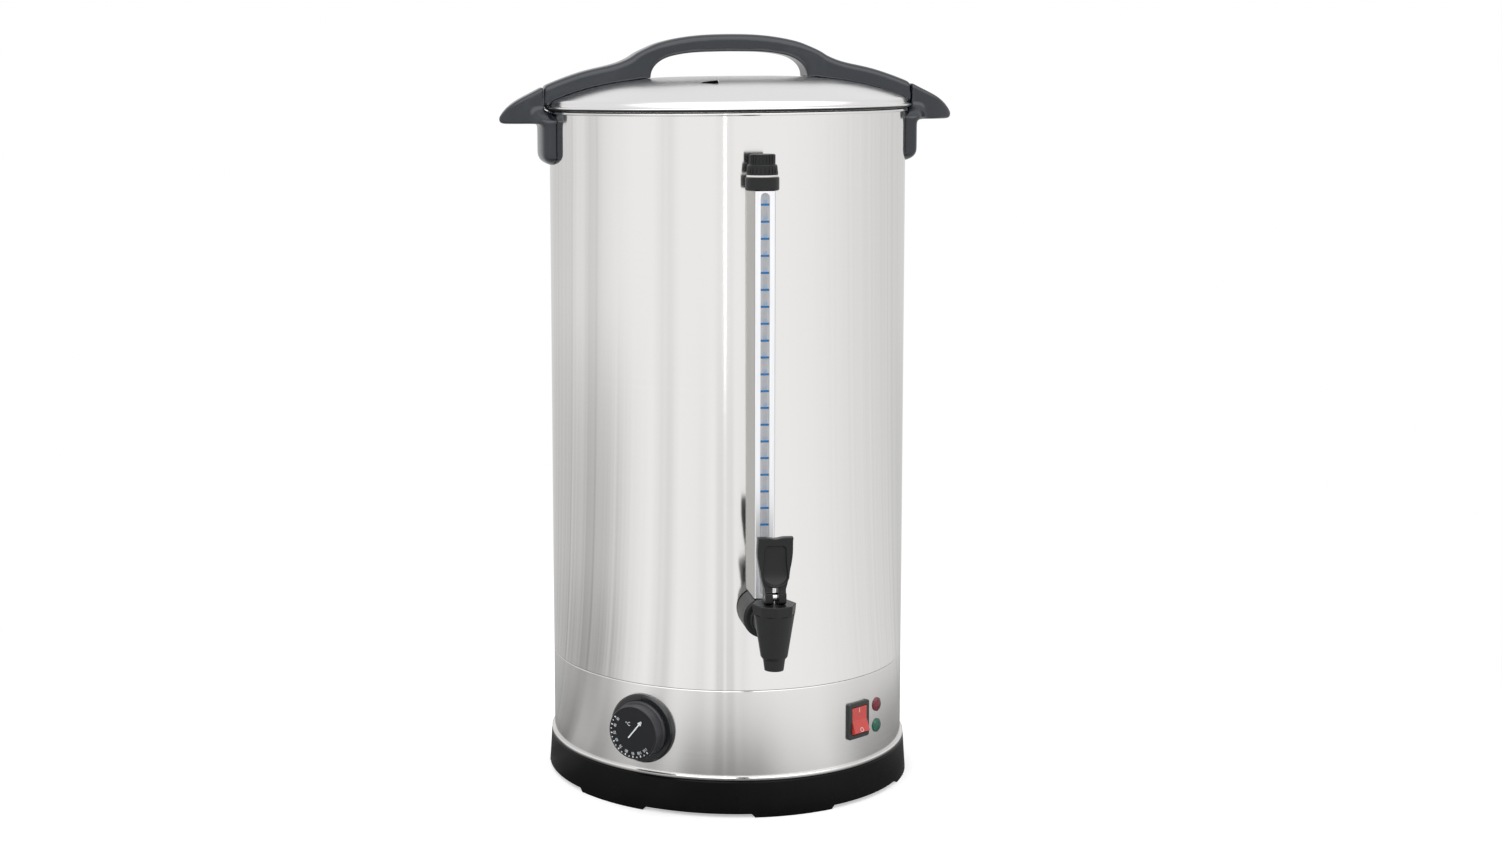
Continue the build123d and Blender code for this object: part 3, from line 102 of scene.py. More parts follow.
def span(tree, value, start, end, low, high, curve="SMOOTHSTEP"):
    """A value led from low, before start, to high, after end, by a smooth step or a straight ramp."""
    sockets = {"Value": value, "From Min": start, "From Max": end, "To Min": low, "To Max": high}
    return add_node(tree, "ShaderNodeMapRange", sockets, interpolation_type=curve).outputs[0]


def mixed(tree, share, first, second, blend="MIX"):
    """The second colour mixed into the first by a share. Sockets 6 and 7 take a Mix node's colours."""
    sockets = {0: share, 6: first, 7: second}
    return add_node(tree, "ShaderNodeMix", sockets, data_type="RGBA", blend_type=blend).outputs[2]


def layered(tree, share, first, second):
    """The second shader laid over the first by a share."""
    sockets = {0: share, 1: first.outputs[0], 2: second.outputs[0]}
    return add_node(tree, "ShaderNodeMixShader", sockets)


def axes_of(tree, place):
    """The X, Y and Z of a place, each a socket."""
    return add_node(tree, "ShaderNodeSeparateXYZ", {0: place}).outputs


# Where the soft boxes and the gaps between them stand, as (degrees from the tap, level): on the studio's
# walls, as a share of that over the floor, and as painted shade on the floor close to the foot.
studio_levels = [
    (-180, 0.72), (-155, 0.68), (-140, 0.72), (-127, 0.74), (-121, 0.86), (-113, 0.86), (-109, 0.74),
    (-100, 0.76), (-94, 0.88), (-86, 0.94), (-70, 1.0), (-56, 1.0), (-51, 0.92), (-44, 0.90), (-38, 1.0),
    (-17, 1.0), (-14, 0.95), (-11.2, 0.95), (-10.5, 1.0), (-9.2, 1.0), (-8.5, 0.94), (-6, 0.95), (-4, 1.0),
    (28, 1.0), (45, 0.97), (64, 0.91), (84, 0.84), (104, 0.78), (128, 0.72), (155, 0.70), (180, 0.72)]
floor_levels = [
    (-180, 0.92), (-165, 0.84), (-140, 0.72), (-127, 0.66), (-119, 0.54), (-113, 0.56), (-98, 0.54),
    (-92, 0.48), (-86, 0.54), (-82, 0.58), (-77, 0.62), (-70, 0.82), (-56, 1.0), (-51, 0.95), (-44, 0.88),
    (-38, 1.0), (-28, 0.96), (-23, 0.90), (-18, 1.0), (-16, 1.0), (-14, 0.82), (-11.2, 0.84), (-10.6, 1.0),
    (-9.3, 1.0), (-8.6, 0.82), (-5.5, 0.84), (-4, 0.98), (0, 0.92), (5, 1.0), (110, 1.0), (138, 0.82),
    (180, 0.88)]
near_painted_shade = [
    (-180, 0.38), (-150, 0.36), (-140, 0.40), (-121, 0.40), (-110, 0.34), (-105, 0.36), (-98, 0.56),
    (-92, 0.60), (-86, 0.50), (-80, 0.36), (-75, 0.28), (-60, 0.30), (-34, 0.30), (-27, 0.18), (-20, 0.16),
    (6, 0.16), (20, 0.34), (40, 0.42), (64, 0.22), (96, 0.20), (118, 0.24), (140, 0.26), (152, 0.40),
    (180, 0.38)]
streak_scale, streak_depth = 26.0, 1.2


def bearing_ramp(tree, place, levels, streaked=streak_depth):
    """Grey levels by bearing round the urn: soft boxes with darker gaps between them.

    The bearing is the angle in degrees from the tap towards the right-hand handle, and the result is a
    level from 0 to 1 on a straight ramp from stop to stop. A noise along the bearing breaks the gaps into
    streaks, more so where they are darker.
    """
    axes = axes_of(tree, place)
    bearing = arithmetic(tree, "ARCTAN2", axes["X"], arithmetic(tree, "MULTIPLY", axes["Y"], -1.0))
    ramp = add_node(tree, "ShaderNodeValToRGB", {0: arithmetic(tree, "MULTIPLY_ADD", bearing, 0.5 / pi, 0.5)})
    ramp.color_ramp.interpolation = "LINEAR"
    for i, (turn_from_tap, level) in enumerate(levels):
        stop = ramp.color_ramp.elements[i] if i < 2 else ramp.color_ramp.elements.new(1.0)
        stop.position = (turn_from_tap + 180) / 360
        stop.color = (level, level, level, 1)
    level = add_node(tree, "ShaderNodeSeparateColor", {0: ramp.outputs["Color"]}).outputs[0]
    sockets = {"W": bearing, "Scale": streak_scale, "Detail": 4.0}
    streak = add_node(tree, "ShaderNodeTexNoise", sockets, noise_dimensions="1D").outputs["Fac"]
    depth = arithmetic(tree, "MULTIPLY", arithmetic(tree, "SUBTRACT", 1.0, level), streaked)
    swing = arithmetic(tree, "MULTIPLY", arithmetic(tree, "SUBTRACT", streak, 0.5), depth)
    return arithmetic(tree, "ADD", level, swing)


pure_white, ceiling_white = (1, 1, 1, 1), (0.90, 0.90, 0.91, 1)
even_light = 0.62


def studio_world():
    """White to the camera, an even light on matt things, and soft boxes with grey gaps in polished ones."""
    world = bpy.data.worlds.new("studio")
    bpy.context.scene.world = world
    tree = emptied(world)
    place = add_node(tree, "ShaderNodeTexCoord").outputs["Generated"]
    axes = axes_of(tree, place)
    overhead = span(tree, axes["Z"], 0.08, 0.45, 0.0, 1.0)
    sky = mixed(tree, overhead, bearing_ramp(tree, place, studio_levels), ceiling_white)
    # a brighter box high in front of the urn, and a slightly brighter one straight above
    in_front = span(tree, axes["Y"], -0.35, 0.05, 1.6, 0.0)
    raised = arithmetic(tree, "MULTIPLY", span(tree, axes["Z"], 0.28, 0.60, 0.0, 1.0), in_front)
    ceiling = arithmetic(tree, "ADD", span(tree, axes["Z"], 0.80, 0.95, 1.0, 1.15), raised)
    backdrop = add_node(tree, "ShaderNodeBackground", {"Color": pure_white})
    even = add_node(tree, "ShaderNodeBackground", {"Color": pure_white, "Strength": even_light})
    boxes = add_node(tree, "ShaderNodeBackground", {"Color": sky, "Strength": ceiling})
    path = add_node(tree, "ShaderNodeLightPath").outputs
    unseen = layered(tree, path["Is Glossy Ray"], even, boxes)
    clear = arithmetic(tree, "MAXIMUM", path["Is Camera Ray"], path["Is Transmission Ray"])
    add_node(tree, "ShaderNodeOutputWorld", {0: layered(tree, clear, unseen, backdrop).outputs[0]})


floor_half, floor_paper, floor_glow = 8.0, (0.9, 0.9, 0.9, 1), 0.42
near_gain, painted_contact_shadow = 2.0, 0.35


def studio_floor():
    """A large pale plane: it takes the shadow near the urn and runs out to white backdrop."""
    mesh = bpy.data.meshes.new("studio_floor")
    corners = [(-floor_half, -floor_half, 0), (floor_half, -floor_half, 0), (floor_half, floor_half, 0),
               (-floor_half, floor_half, 0)]
    mesh.from_pydata(corners, [], [(0, 1, 2, 3)])
    material = bpy.data.materials.new("pale_floor")
    mesh.materials.append(material)
    tree = emptied(material)
    place = add_node(tree, "ShaderNodeTexCoord").outputs["Object"]
    reach = add_node(tree, "ShaderNodeVectorMath", {0: place}, operation="LENGTH").outputs["Value"]
    # to the camera: paper that holds the shadow, white from a metre out
    paper = add_node(tree, "ShaderNodeBsdfDiffuse", {"Color": floor_paper})
    glow = add_node(tree, "ShaderNodeEmission", {"Strength": floor_glow})
    lit = add_node(tree, "ShaderNodeAddShader", {0: paper.outputs[0], 1: glow.outputs[0]})
    white = add_node(tree, "ShaderNodeEmission")
    seen = layered(tree, span(tree, reach, 0.35, 0.9, 0.0, 1.0), lit, white)
    # in polished things: the same bearings as the studio, with deeper gaps over the nearer floor, and painted
    # shadow close to the foot
    levels = bearing_ramp(tree, place, studio_levels)
    gaps = bearing_ramp(tree, place, floor_levels)
    reached = arithmetic(tree, "MULTIPLY", span(tree, reach, 0.5, 1.1, 1.0, 0.64),
                         span(tree, reach, 1.1, 4.2, 1.0, 0.0))
    tone = mixed(tree, 1.0, levels, mixed(tree, reached, pure_white, gaps), "MULTIPLY")
    # painted shadow: what polished things see of the floor darkens close to the urn's foot
    near = arithmetic(tree, "MULTIPLY", bearing_ramp(tree, place, near_painted_shade, 0.0), near_gain)
    gone = span(tree, reach, 0.26, 0.50, 0.0, 1.0)
    lift = arithmetic(tree, "MULTIPLY", arithmetic(tree, "SUBTRACT", 1.0, near), gone)
    power = arithmetic(tree, "ADD", near, lift)
    contact = span(tree, reach, 0.16, 0.26, painted_contact_shadow, 1.0)
    power = arithmetic(tree, "MULTIPLY", power, contact)
    mirror = add_node(tree, "ShaderNodeEmission", {"Color": tone, "Strength": power})
    path = add_node(tree, "ShaderNodeLightPath").outputs
    matt = layered(tree, path["Is Camera Ray"], paper, seen)
    whole = layered(tree, path["Is Glossy Ray"], matt, mirror)
    add_node(tree, "ShaderNodeOutputMaterial", {0: whole.outputs[0]})
    floor = placed("studio_floor", mesh)


def soft_box(name, place, aim, size, power, mirrored=False):
    """A rectangular area lamp that faces a point. Polished things show it only where it is mirrored."""
    lamp = bpy.data.lights.new(name, "AREA")
    lamp.shape = "RECTANGLE"
    lamp.size, lamp.size_y = size
    lamp.energy = power
    holder = placed(name, lamp)
    holder.location = place
    holder.rotation_euler = (Vector(place) - Vector(aim)).to_track_quat("Z", "Y").to_euler()
    holder.visible_glossy = mirrored


studio_world()
studio_floor()
soft_box("key_box", (-1.7, -1.9, 1.5), (0, 0, 0.3), (1.2, 1.6), 22)
soft_box("fill_box", (2.1, -1.4, 1.1), (0, 0, 0.3), (1.2, 1.6), 12)
soft_box("top_box", (0.0, 0.3, 2.4), (0, 0, 0.3), (1.8, 1.8), 16)
soft_box("strip_box", (-0.51, -2.9, 1.2), (0, 0, 1.2), (0.03, 2.4), 0.6, mirrored=True)

# --- Base ring and what closes it ------------------------------------------------------------------
# The foot ring is a glossy black moulding with six low feet. A zinc plated steel plate closes it from
# below, on six screws and four studs.


def object_place(tree):
    """The coordinates of the surface on its own object."""
    return add_node(tree, "ShaderNodeTexCoord").outputs["Object"]


def noise(tree, place, scale, detail):
    """A noise over the surface, from 0 to 1."""
    sockets = {"Vector": place, "Scale": scale, "Detail": detail}
    return add_node(tree, "ShaderNodeTexNoise", sockets).outputs["Fac"]


def squeezed(tree, place, stretch):
    """A place with each axis times a number, so that a pattern on it is squeezed along that axis."""
    return add_node(tree, "ShaderNodeMapping", {"Vector": place, "Scale": stretch}).outputs[0]


def mottled(tree, pattern, colour, darker, lighter):
    """A colour that a pattern leads from a darker to a lighter share of itself."""
    low, high = [c * darker for c in colour], [min(1.0, c * lighter) for c in colour]
    return mixed(tree, pattern, (*low, 1), (*high, 1))


def raised_by(tree, height, distance, strength=1.0):
    """A surface that a pattern raises by up to a distance."""
    sockets = {"Height": height, "Distance": distance, "Strength": strength}
    return add_node(tree, "ShaderNodeBump", sockets).outputs[0]


def surfaced(material, sockets):
    """A material ended with one Principled shader, whose sockets are given."""
    shader = add_node(material.node_tree, "ShaderNodeBsdfPrincipled", sockets)
    add_node(material.node_tree, "ShaderNodeOutputMaterial", {0: shader.outputs[0]})
    return material


rough_low, rough_high = 0.85, 1.2


def moulding(name, colour, roughness, grain=900.0, depth=0.04, spread=0.25, coat=0.0, shine=0.5):
    """Moulded plastic: a broad noise mottles its colour and roughness, and a fine one raises a faint skin.

    The depth of the skin is in millimetres, and the spread is the share by which the colour varies.
    """
    material = bpy.data.materials.new(name)
    tree = emptied(material)
    place = object_place(tree)
    broad = noise(tree, place, 22.0, 4.0)
    return surfaced(material, {
        "Base Color": mottled(tree, broad, colour, 1 - spread, 1 + spread),
        "Roughness": span(tree, broad, 0.3, 0.7, roughness * rough_low, roughness * rough_high, "LINEAR"),
        "Normal": raised_by(tree, noise(tree, place, grain, 3.0), depth / 1000),
        "Specular IOR Level": shine, "Coat Weight": coat, "Coat Roughness": 0.08})


def metal(name, colour, roughness, stretch=(900, 900, 900), depth=0.01, anisotropy=0.0, around=0.0,
          spread=0.06):
    """Metal with a grain: noise squeezed by stretch marks the colour and roughness and scores the surface."""
    material = bpy.data.materials.new(name)
    tree = emptied(material)
    place = object_place(tree)
    grain = noise(tree, squeezed(tree, place, stretch), 1.0, 4.0)
    blend = arithmetic(tree, "MULTIPLY", grain, noise(tree, place, 9.0, 3.0))
    sockets = {
        "Metallic": 1.0, "Anisotropic": anisotropy, "Anisotropic Rotation": around,
        "Base Color": mottled(tree, grain, colour, 1 - spread, 1 + spread),
        "Roughness": span(tree, blend, 0.1, 0.45, roughness * rough_low, roughness * rough_high, "LINEAR"),
        "Normal": raised_by(tree, grain, depth / 1000)}
    if anisotropy:
        tangent = add_node(tree, "ShaderNodeTangent", direction_type="RADIAL", axis="Z")
        sockets["Tangent"] = tangent.outputs[0]
    return surfaced(material, sockets)


def finish_nodes(material, *names):
    """Gives CAD nodes one material."""
    for name in names:
        mesh = node[name].data
        mesh.materials.clear()
        mesh.materials.append(material)


black_ring = moulding("ring_black", (0.0040, 0.0042, 0.0046), 0.25, shine=0.12)
zinc = metal("zinc_plate", (0.62, 0.63, 0.65), 0.38)
finish_nodes(black_ring, "base_ring")
finish_nodes(zinc, "bottom_plate", "bottom_plate_screws", "tie_rods", "tie_rod_nuts")

# --- Shell -----------------------------------------------------------------------------------------
# Tank and base band are stainless steel, brushed round the urn, so that what they mirror is drawn out
# into upright streaks. The tank is satin inside and under its floor, and the band's lip has painted shade.


def shaded(material, low, high, share):
    """Painted shade: a material's colour times a share below a height, and unchanged above another."""
    tree = material.node_tree
    surface = next(each for each in tree.nodes if each.type == "BSDF_PRINCIPLED")
    colour = surface.inputs["Base Color"].links[0].from_socket
    height = axes_of(tree, object_place(tree))["Z"]
    dim = mixed(tree, 1.0, colour, span(tree, height, low, high, share, 1.0), "MULTIPLY")
    tree.links.new(dim, surface.inputs["Base Color"])


def second_finish(name, material, chosen):
    """Gives some faces of a CAD node, those for which chosen(centre, normal) holds, a second material."""
    mesh = node[name].data
    mesh.materials.append(material)
    for face in mesh.polygons:
        if chosen(np.array(face.center), np.array(face.normal)):
            face.material_index = 1


def inside_or_level(centre, normal):
    """True for a face of the tank that looks inwards, up or down."""
    return normal[:2] @ centre[:2] < -1e-4 or abs(normal[2]) > 0.9


tank_steel = metal("tank_steel", (0.82, 0.81, 0.795), 0.10, (5, 5, 2200), 0.0003, 0.8, 0.25, 0.02)
tank_satin = metal("tank_satin", (0.80, 0.79, 0.775), 0.5, (5, 5, 900), 0.002)
band_steel = metal("band_steel", (0.80, 0.79, 0.775), 0.18, (7, 7, 2600), 0.0010, 0.9, 0.25, 0.04)
finish_nodes(tank_steel, "tank")
second_finish("tank", tank_satin, inside_or_level)
finish_nodes(band_steel, "base_band")
band_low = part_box("base_band")[0][2]
# painted shade: the band's colour darkens along its lower lip
shaded(band_steel, band_low + 0.0006, band_low + 0.0026, 0.22)

# --- Heater and thermostat -------------------------------------------------------------------------
# A sheathed element clamped under the tank by a cast aluminium spreader, with a boil-dry cut-out beside
# it. A capillary thermostat sits behind the band, screwed to it, with its copper tube led to the tank.

finish_nodes(metal("cast_aluminium", (0.7, 0.71, 0.72), 0.45), "heat_spreader")
finish_nodes(metal("element_sheath", (0.35, 0.33, 0.3), 0.4), "heating_element")
finish_nodes(moulding("phenolic_brown", (0.06, 0.045, 0.035), 0.5), "boil_dry_cutout", "terminal_block")
finish_nodes(zinc, "thermostat_body", "thermostat_screws", "thermostat_shaft")
finish_nodes(metal("copper", (0.72, 0.42, 0.3), 0.3), "capillary_tube")

# --- Dial plate and thermostat knob ----------------------------------------------------------------
# A glossy black dial plate on the band and a hollow black knob on the thermostat shaft. The scale is
# printed on the knob: 30 to 110 degrees, a stroke at each number and a dot between.


def points_of(mesh):
    """The places of a mesh's points, one to a row."""
    points = np.empty(len(mesh.vertices) * 3)
    mesh.vertices.foreach_get("co", points)
    return points.reshape(-1, 3)


def lettering(words, size, thick):
    """Words as a closed mesh of that height and thickness, centred, flat on the XY plane.

    It gives the points as an array in metres, and the faces.
    """
    curve = bpy.data.curves.new("words", "FONT")
    curve.body = words
    curve.size = size
    curve.align_x, curve.align_y = "CENTER", "CENTER"
    curve.extrude = thick / 2
    curve.resolution_u = 2
    holder = bpy.data.objects.new("words", curve)
    mesh = bpy.data.meshes.new_from_object(holder)
    points, faces = points_of(mesh), [tuple(face.vertices) for face in mesh.polygons]
    bpy.data.objects.remove(holder)
    bpy.data.curves.remove(curve)
    bpy.data.meshes.remove(mesh)
    return points, faces


def stroke(start, end, width, thick):
    """A flat bar between two points of the XY plane: its eight corners and six faces."""
    start, end = np.array(start, float), np.array(end, float)
    along = (end - start) / np.linalg.norm(end - start)
    side = np.array([-along[1], along[0]]) * width / 2
    flat = np.array([start - side, end - side, end + side, start + side])
    low = np.column_stack([flat, np.full(4, -thick / 2)])
    high = np.column_stack([flat, np.full(4, thick / 2)])
    sides = [(0, 1, 5, 4), (1, 2, 6, 5), (2, 3, 7, 6), (3, 0, 4, 7)]
    return np.vstack([low, high]), [(3, 2, 1, 0), (4, 5, 6, 7)] + sides


def turned(points, angle, shift):
    """Points turned in the XY plane and then shifted."""
    spin = np.array([[cos(angle), -sin(angle), 0], [sin(angle), cos(angle), 0], [0, 0, 1]])
    return points @ spin.T + np.array([*shift, 0])


def facing(azimuth):
    """The way to the right and the way out of a wall that faces out at an azimuth."""
    return np.array([cos(azimuth), sin(azimuth), 0]), np.array([sin(azimuth), -cos(azimuth), 0])


def on_wall(points, azimuth, radius, height):
    """Points of a flat drawing (x right, y up, z out) set on a plane that faces out at an azimuth."""
    right, out = facing(azimuth)
    return (points[:, :1] * right + points[:, 1:2] * np.array([0, 0, 1.0])
            + (points[:, 2:] + radius) * out + np.array([0, 0, height]))


weld_reach = 1e-6


def welded(mesh):
    """Points of a mesh that fall together are made one, which closes its skin."""
    shape = bmesh.new()
    shape.from_mesh(mesh)
    bmesh.ops.remove_doubles(shape, verts=shape.verts, dist=weld_reach)
    shape.to_mesh(mesh)
    shape.free()


def skinned(name, points, faces, materials, marks=None, sharp=None):
    """A new object of these points and faces.

    Marks give each face's material, and sharp the angle past which an edge of the smooth skin stays sharp.
    """
    mesh = bpy.data.meshes.new(name)
    mesh.from_pydata(points.tolist(), [], faces)
    for material in materials:
        mesh.materials.append(material)
    if marks:
        mesh.polygons.foreach_set("material_index", marks)
    if sharp:
        mesh.polygons.foreach_set("use_smooth", np.ones(len(faces), dtype=bool))
    welded(mesh)
    if sharp:
        mesh.set_sharp_from_angle(angle=sharp)
    return placed(name, mesh)


def joined(name, parts, material):
    """One object made of several (points, faces) parts."""
    faces, first = [], 0
    for corners, sides in parts:
        faces += [tuple(i + first for i in side) for side in sides]
        first += len(corners)
    return skinned(name, np.vstack([corners for corners, _ in parts]), faces, (material,))


dial_black = moulding("dial_black", (0.012, 0.013, 0.014), 0.16)
knob_black = moulding("knob_black", (0.0075, 0.0080, 0.0095), 0.42, shine=0.3)
knob_side_painted_light = moulding("knob_side_painted_light", (0.028, 0.028, 0.033), 0.42)
dial_white = moulding("dial_print", (0.72, 0.76, 0.79), 0.5, depth=0.01, spread=0.08)
finish_nodes(dial_black, "knob_bezel")
finish_nodes(knob_black, "thermostat_knob")
dial_azimuth, dial_height, dial_face = radians(-36.2), 0.0688, 0.1700
dial_axis = facing(dial_azimuth)[1]
# painted light: the knob's sides take a lighter copy of its black
second_finish("thermostat_knob", knob_side_painted_light, lambda centre, normal: abs(normal @ dial_axis) < 0.85)

print_thick = 0.00008
figure_radius, figure_size, figure_squeeze = 0.0170, 0.0035, 0.8
stroke_inner, stroke_outer, stroke_wide = 0.0192, 0.0209, 0.0009
dot_inner, dot_wide = 0.0198, 0.0008
first_figure, figure_step, figure_count = radians(144.6), radians(21), 9
tail, tip, needle_wide = np.array([-0.0042, -0.0046]), np.array([0.0076, 0.0100]), 0.0011
barb_ahead, barb_back, barb_out, barb_wide = 0.0008, 0.0028, 0.0014, 0.0010
celsius_size, celsius_place = 0.0044, (-0.0045, 0.0072)
scale = []
for i in range(figure_count):
    angle = first_figure + i * figure_step
    ray = np.array([cos(angle), sin(angle)])
    figures, sides = lettering(str(30 + 10 * i), figure_size, print_thick)
    scale.append((turned(figures * (figure_squeeze, 1, 1), angle - pi / 2, ray * figure_radius), sides))
    scale.append(stroke(ray * stroke_inner, ray * stroke_outer, stroke_wide, print_thick))
    if i < figure_count - 1:
        middle = np.array([cos(angle + figure_step / 2), sin(angle + figure_step / 2)])
        scale.append(stroke(middle * dot_inner, middle * stroke_outer, dot_wide, print_thick))
scale.append(stroke(tail, tip, needle_wide, print_thick))
heading = (tip - tail) / np.linalg.norm(tip - tail)
across = np.array([-heading[1], heading[0]])
for side in (-1, 1):
    barb = tip - heading * barb_back + side * across * barb_out
    scale.append(stroke(tip + heading * barb_ahead, barb, barb_wide, print_thick))
celsius, sides = lettering("\u00b0C", celsius_size, print_thick)
scale.append((turned(celsius, 0, celsius_place), sides))
scale = [(on_wall(points, dial_azimuth, dial_face, dial_height), sides) for points, sides in scale]
dial_scale = joined("dial_scale", scale, dial_white)
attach(dial_scale, "knob")

# --- Rocker switch ---------------------------------------------------------------------------------
# A snap-in switch: a dark nylon frame clipped into the band, brass terminals behind it, and a red rocker
# on a pin, with I and O printed on its two faces.

frame_black = moulding("frame_black", (0.022, 0.026, 0.026), 0.35)
finish_nodes(frame_black, "switch_housing")
finish_nodes(metal("brass", (0.7, 0.55, 0.3), 0.35), "switch_terminals")
finish_nodes(moulding("rocker_red", (0.58, 0.055, 0.045), 0.3, coat=0.4), "rocker")
mark_pink = moulding("rocker_print", (0.92, 0.66, 0.64), 0.4, depth=0.01, spread=0.08)
switch_azimuth, switch_height = radians(36.7), 0.0697
mark_size, mark_high, mark_low = 0.0056, 0.0085, -0.0078


def face_mark(words, up_face):
    """Words laid on the rocker's face where a line straight in from the front meets it, at a height."""
    right, out = facing(switch_azimuth)
    start = on_wall(np.array([[0.0, up_face, 0.0]]), switch_azimuth, 0.2, switch_height)[0]
    _, place, normal, _ = node["rocker"].ray_cast(start.tolist(), (-out).tolist())
    normal = np.array(normal) if np.array(normal) @ out > 0 else -np.array(normal)
    up = np.cross(normal, right)
    points, sides = lettering(words, mark_size, print_thick)
    return points[:, :1] * right + points[:, 1:2] * up + points[:, 2:] * normal + np.array(place), sides


rocker_marks = joined("rocker_marks", [face_mark("I", mark_high), face_mark("O", mark_low)], mark_pink)
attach(rocker_marks, "rocker")

# --- Indicator lamps -------------------------------------------------------------------------------
# Two push-in lamps with moulded plastic lenses, red over green. A plated spring clip behind the band
# holds each of them.


def lens(name, deep, bright):
    """A coloured lens: facets of a cell pattern break its shine, and its edge is darker than its middle."""
    material = bpy.data.materials.new(name)
    tree = emptied(material)
    sockets = {"Vector": object_place(tree), "Scale": 420.0}
    cells = add_node(tree, "ShaderNodeTexVoronoi", sockets).outputs["Distance"]
    rim = add_node(tree, "ShaderNodeLayerWeight", {"Blend": 0.45}).outputs["Facing"]
    share = arithmetic(tree, "MULTIPLY_ADD", cells, 0.6, rim)
    return surfaced(material, {
        "Base Color": mixed(tree, share, (*bright, 1), (*deep, 1)),
        "Roughness": 0.12, "Normal": raised_by(tree, cells, 0.0006, 0.8)})


finish_nodes(lens("lens_red", (0.07, 0.004, 0.008), (0.30, 0.03, 0.05)), "lamp_red")
finish_nodes(lens("lens_green", (0.003, 0.045, 0.03), (0.02, 0.20, 0.13)), "lamp_green")
finish_nodes(zinc, "lamp_nuts")

# --- Cord gland ------------------------------------------------------------------------------------
# A nylon gland through the back of the band, where the cord comes in. A nut inside draws it up against
# the steel.

finish_nodes(moulding("gland_nylon", (0.02, 0.02, 0.021), 0.45), "cord_gland", "gland_nut")

# --- Handles and lid -------------------------------------------------------------------------------
# Black phenolic mouldings with a polished skin: two grips screwed through the tank's wall and one handle
# screwed through the lid. The lid is pressed from stainless sheet, with a rolled hem and a steam louvre.


def finished_mesh(piece):
    """Gives a piece the mesh that its modifiers make, takes them off, and gives that mesh."""
    piece.data = bpy.data.meshes.new_from_object(piece.evaluated_get(bpy.context.evaluated_depsgraph_get()))
    piece.modifiers.clear()
    return piece.data


def softened(name, body, material, cell, passes, hold, warp, even_halves=False):
    """A moulding with its corners rounded, which stands for a CAD node.

    The node's shape is cut into even cells, warp moves the points, and then each point goes half way to
    the mean of its neighbours, times hold, in each pass. Hold gives 0 for a point that has to stay and 1
    for a free one. With even_halves the right half is the left one's mirror image.
    """
    shape = bmesh.new()
    shape.from_mesh(node[name].data)
    bmesh.ops.remove_doubles(shape, verts=shape.verts, dist=weld_reach)
    if even_halves:
        whole = shape.verts[:] + shape.edges[:] + shape.faces[:]
        bmesh.ops.bisect_plane(shape, geom=whole, plane_co=(0, 0, 0), plane_no=(1, 0, 0), clear_outer=True)
        left = shape.verts[:] + shape.edges[:] + shape.faces[:]
        bmesh.ops.mirror(shape, geom=left, axis="X", merge_dist=1e-5)
    rough = bpy.data.meshes.new(name + "_rough")
    shape.to_mesh(rough)
    shape.free()
    piece = placed(name + "_skin", rough)
    even = piece.modifiers.new("even", "REMESH")
    even.mode = "VOXEL"
    even.voxel_size = cell
    mesh = finished_mesh(piece)
    bpy.data.meshes.remove(rough)
    points = warp(points_of(mesh))
    count = len(points)
    ends = np.empty(len(mesh.edges) * 2, dtype=np.int32)
    mesh.edges.foreach_get("vertices", ends)
    first, second = ends.reshape(-1, 2).T
    share = 0.5 * hold(points)[:, None] / np.bincount(ends, minlength=count)[:, None]
    for _ in range(passes):
        step = points[second] - points[first]
        pull = np.stack([np.bincount(first, step[:, k], count) - np.bincount(second, step[:, k], count)
                         for k in range(3)], axis=1)
        points = points + pull * share
    mesh.vertices.foreach_set("co", points.ravel())
    mesh.polygons.foreach_set("use_smooth", np.ones(len(mesh.polygons), dtype=bool))
    mesh.materials.clear()
    mesh.materials.append(material)
    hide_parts(name)
    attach(piece, body)


tank_radius, skin_gap, free_reach = 0.1525, 0.0005, 0.004
lid_crown, lid_drop, lid_power, lid_shoulder = 0.606, 0.0186, 3.5, 0.150
bracket_spread, bracket_shoulder, bracket_blend = 1.2, 0.580, 0.010
bracket_reach, bracket_edge, bracket_half = 0.019, 0.006, 0.0145
bracket_root, bracket_rise = 0.566, 0.06
bracket_crown, bracket_foot, bracket_draw = 0.06, 0.530, 0.010
opening_stretch, opening_top, opening_fade = 0.056, 0.631, 0.008
opening_end, opening_end_fade = 0.084, 0.012


def away_from_wall(points):
    """0 on the tank's wall, rising to 1 four millimetres off it."""
    radius = np.hypot(points[:, 0], points[:, 1])
    return np.clip((radius - tank_radius - skin_gap) / free_reach, 0, 1)


def dome_at(radius):
    """The height of the lid's dome: crown - drop * (radius / shoulder)^power."""
    return lid_crown - lid_drop * (radius / lid_shoulder) ** lid_power


def above_dome(points):
    """A quarter on the lid's dome, rising to 1 four millimetres above it."""
    radius = np.hypot(points[:, 0], points[:, 1])
    dome = dome_at(np.minimum(radius, lid_shoulder))
    return np.clip((points[:, 2] - dome - skin_gap) / free_reach, 0.25, 1)


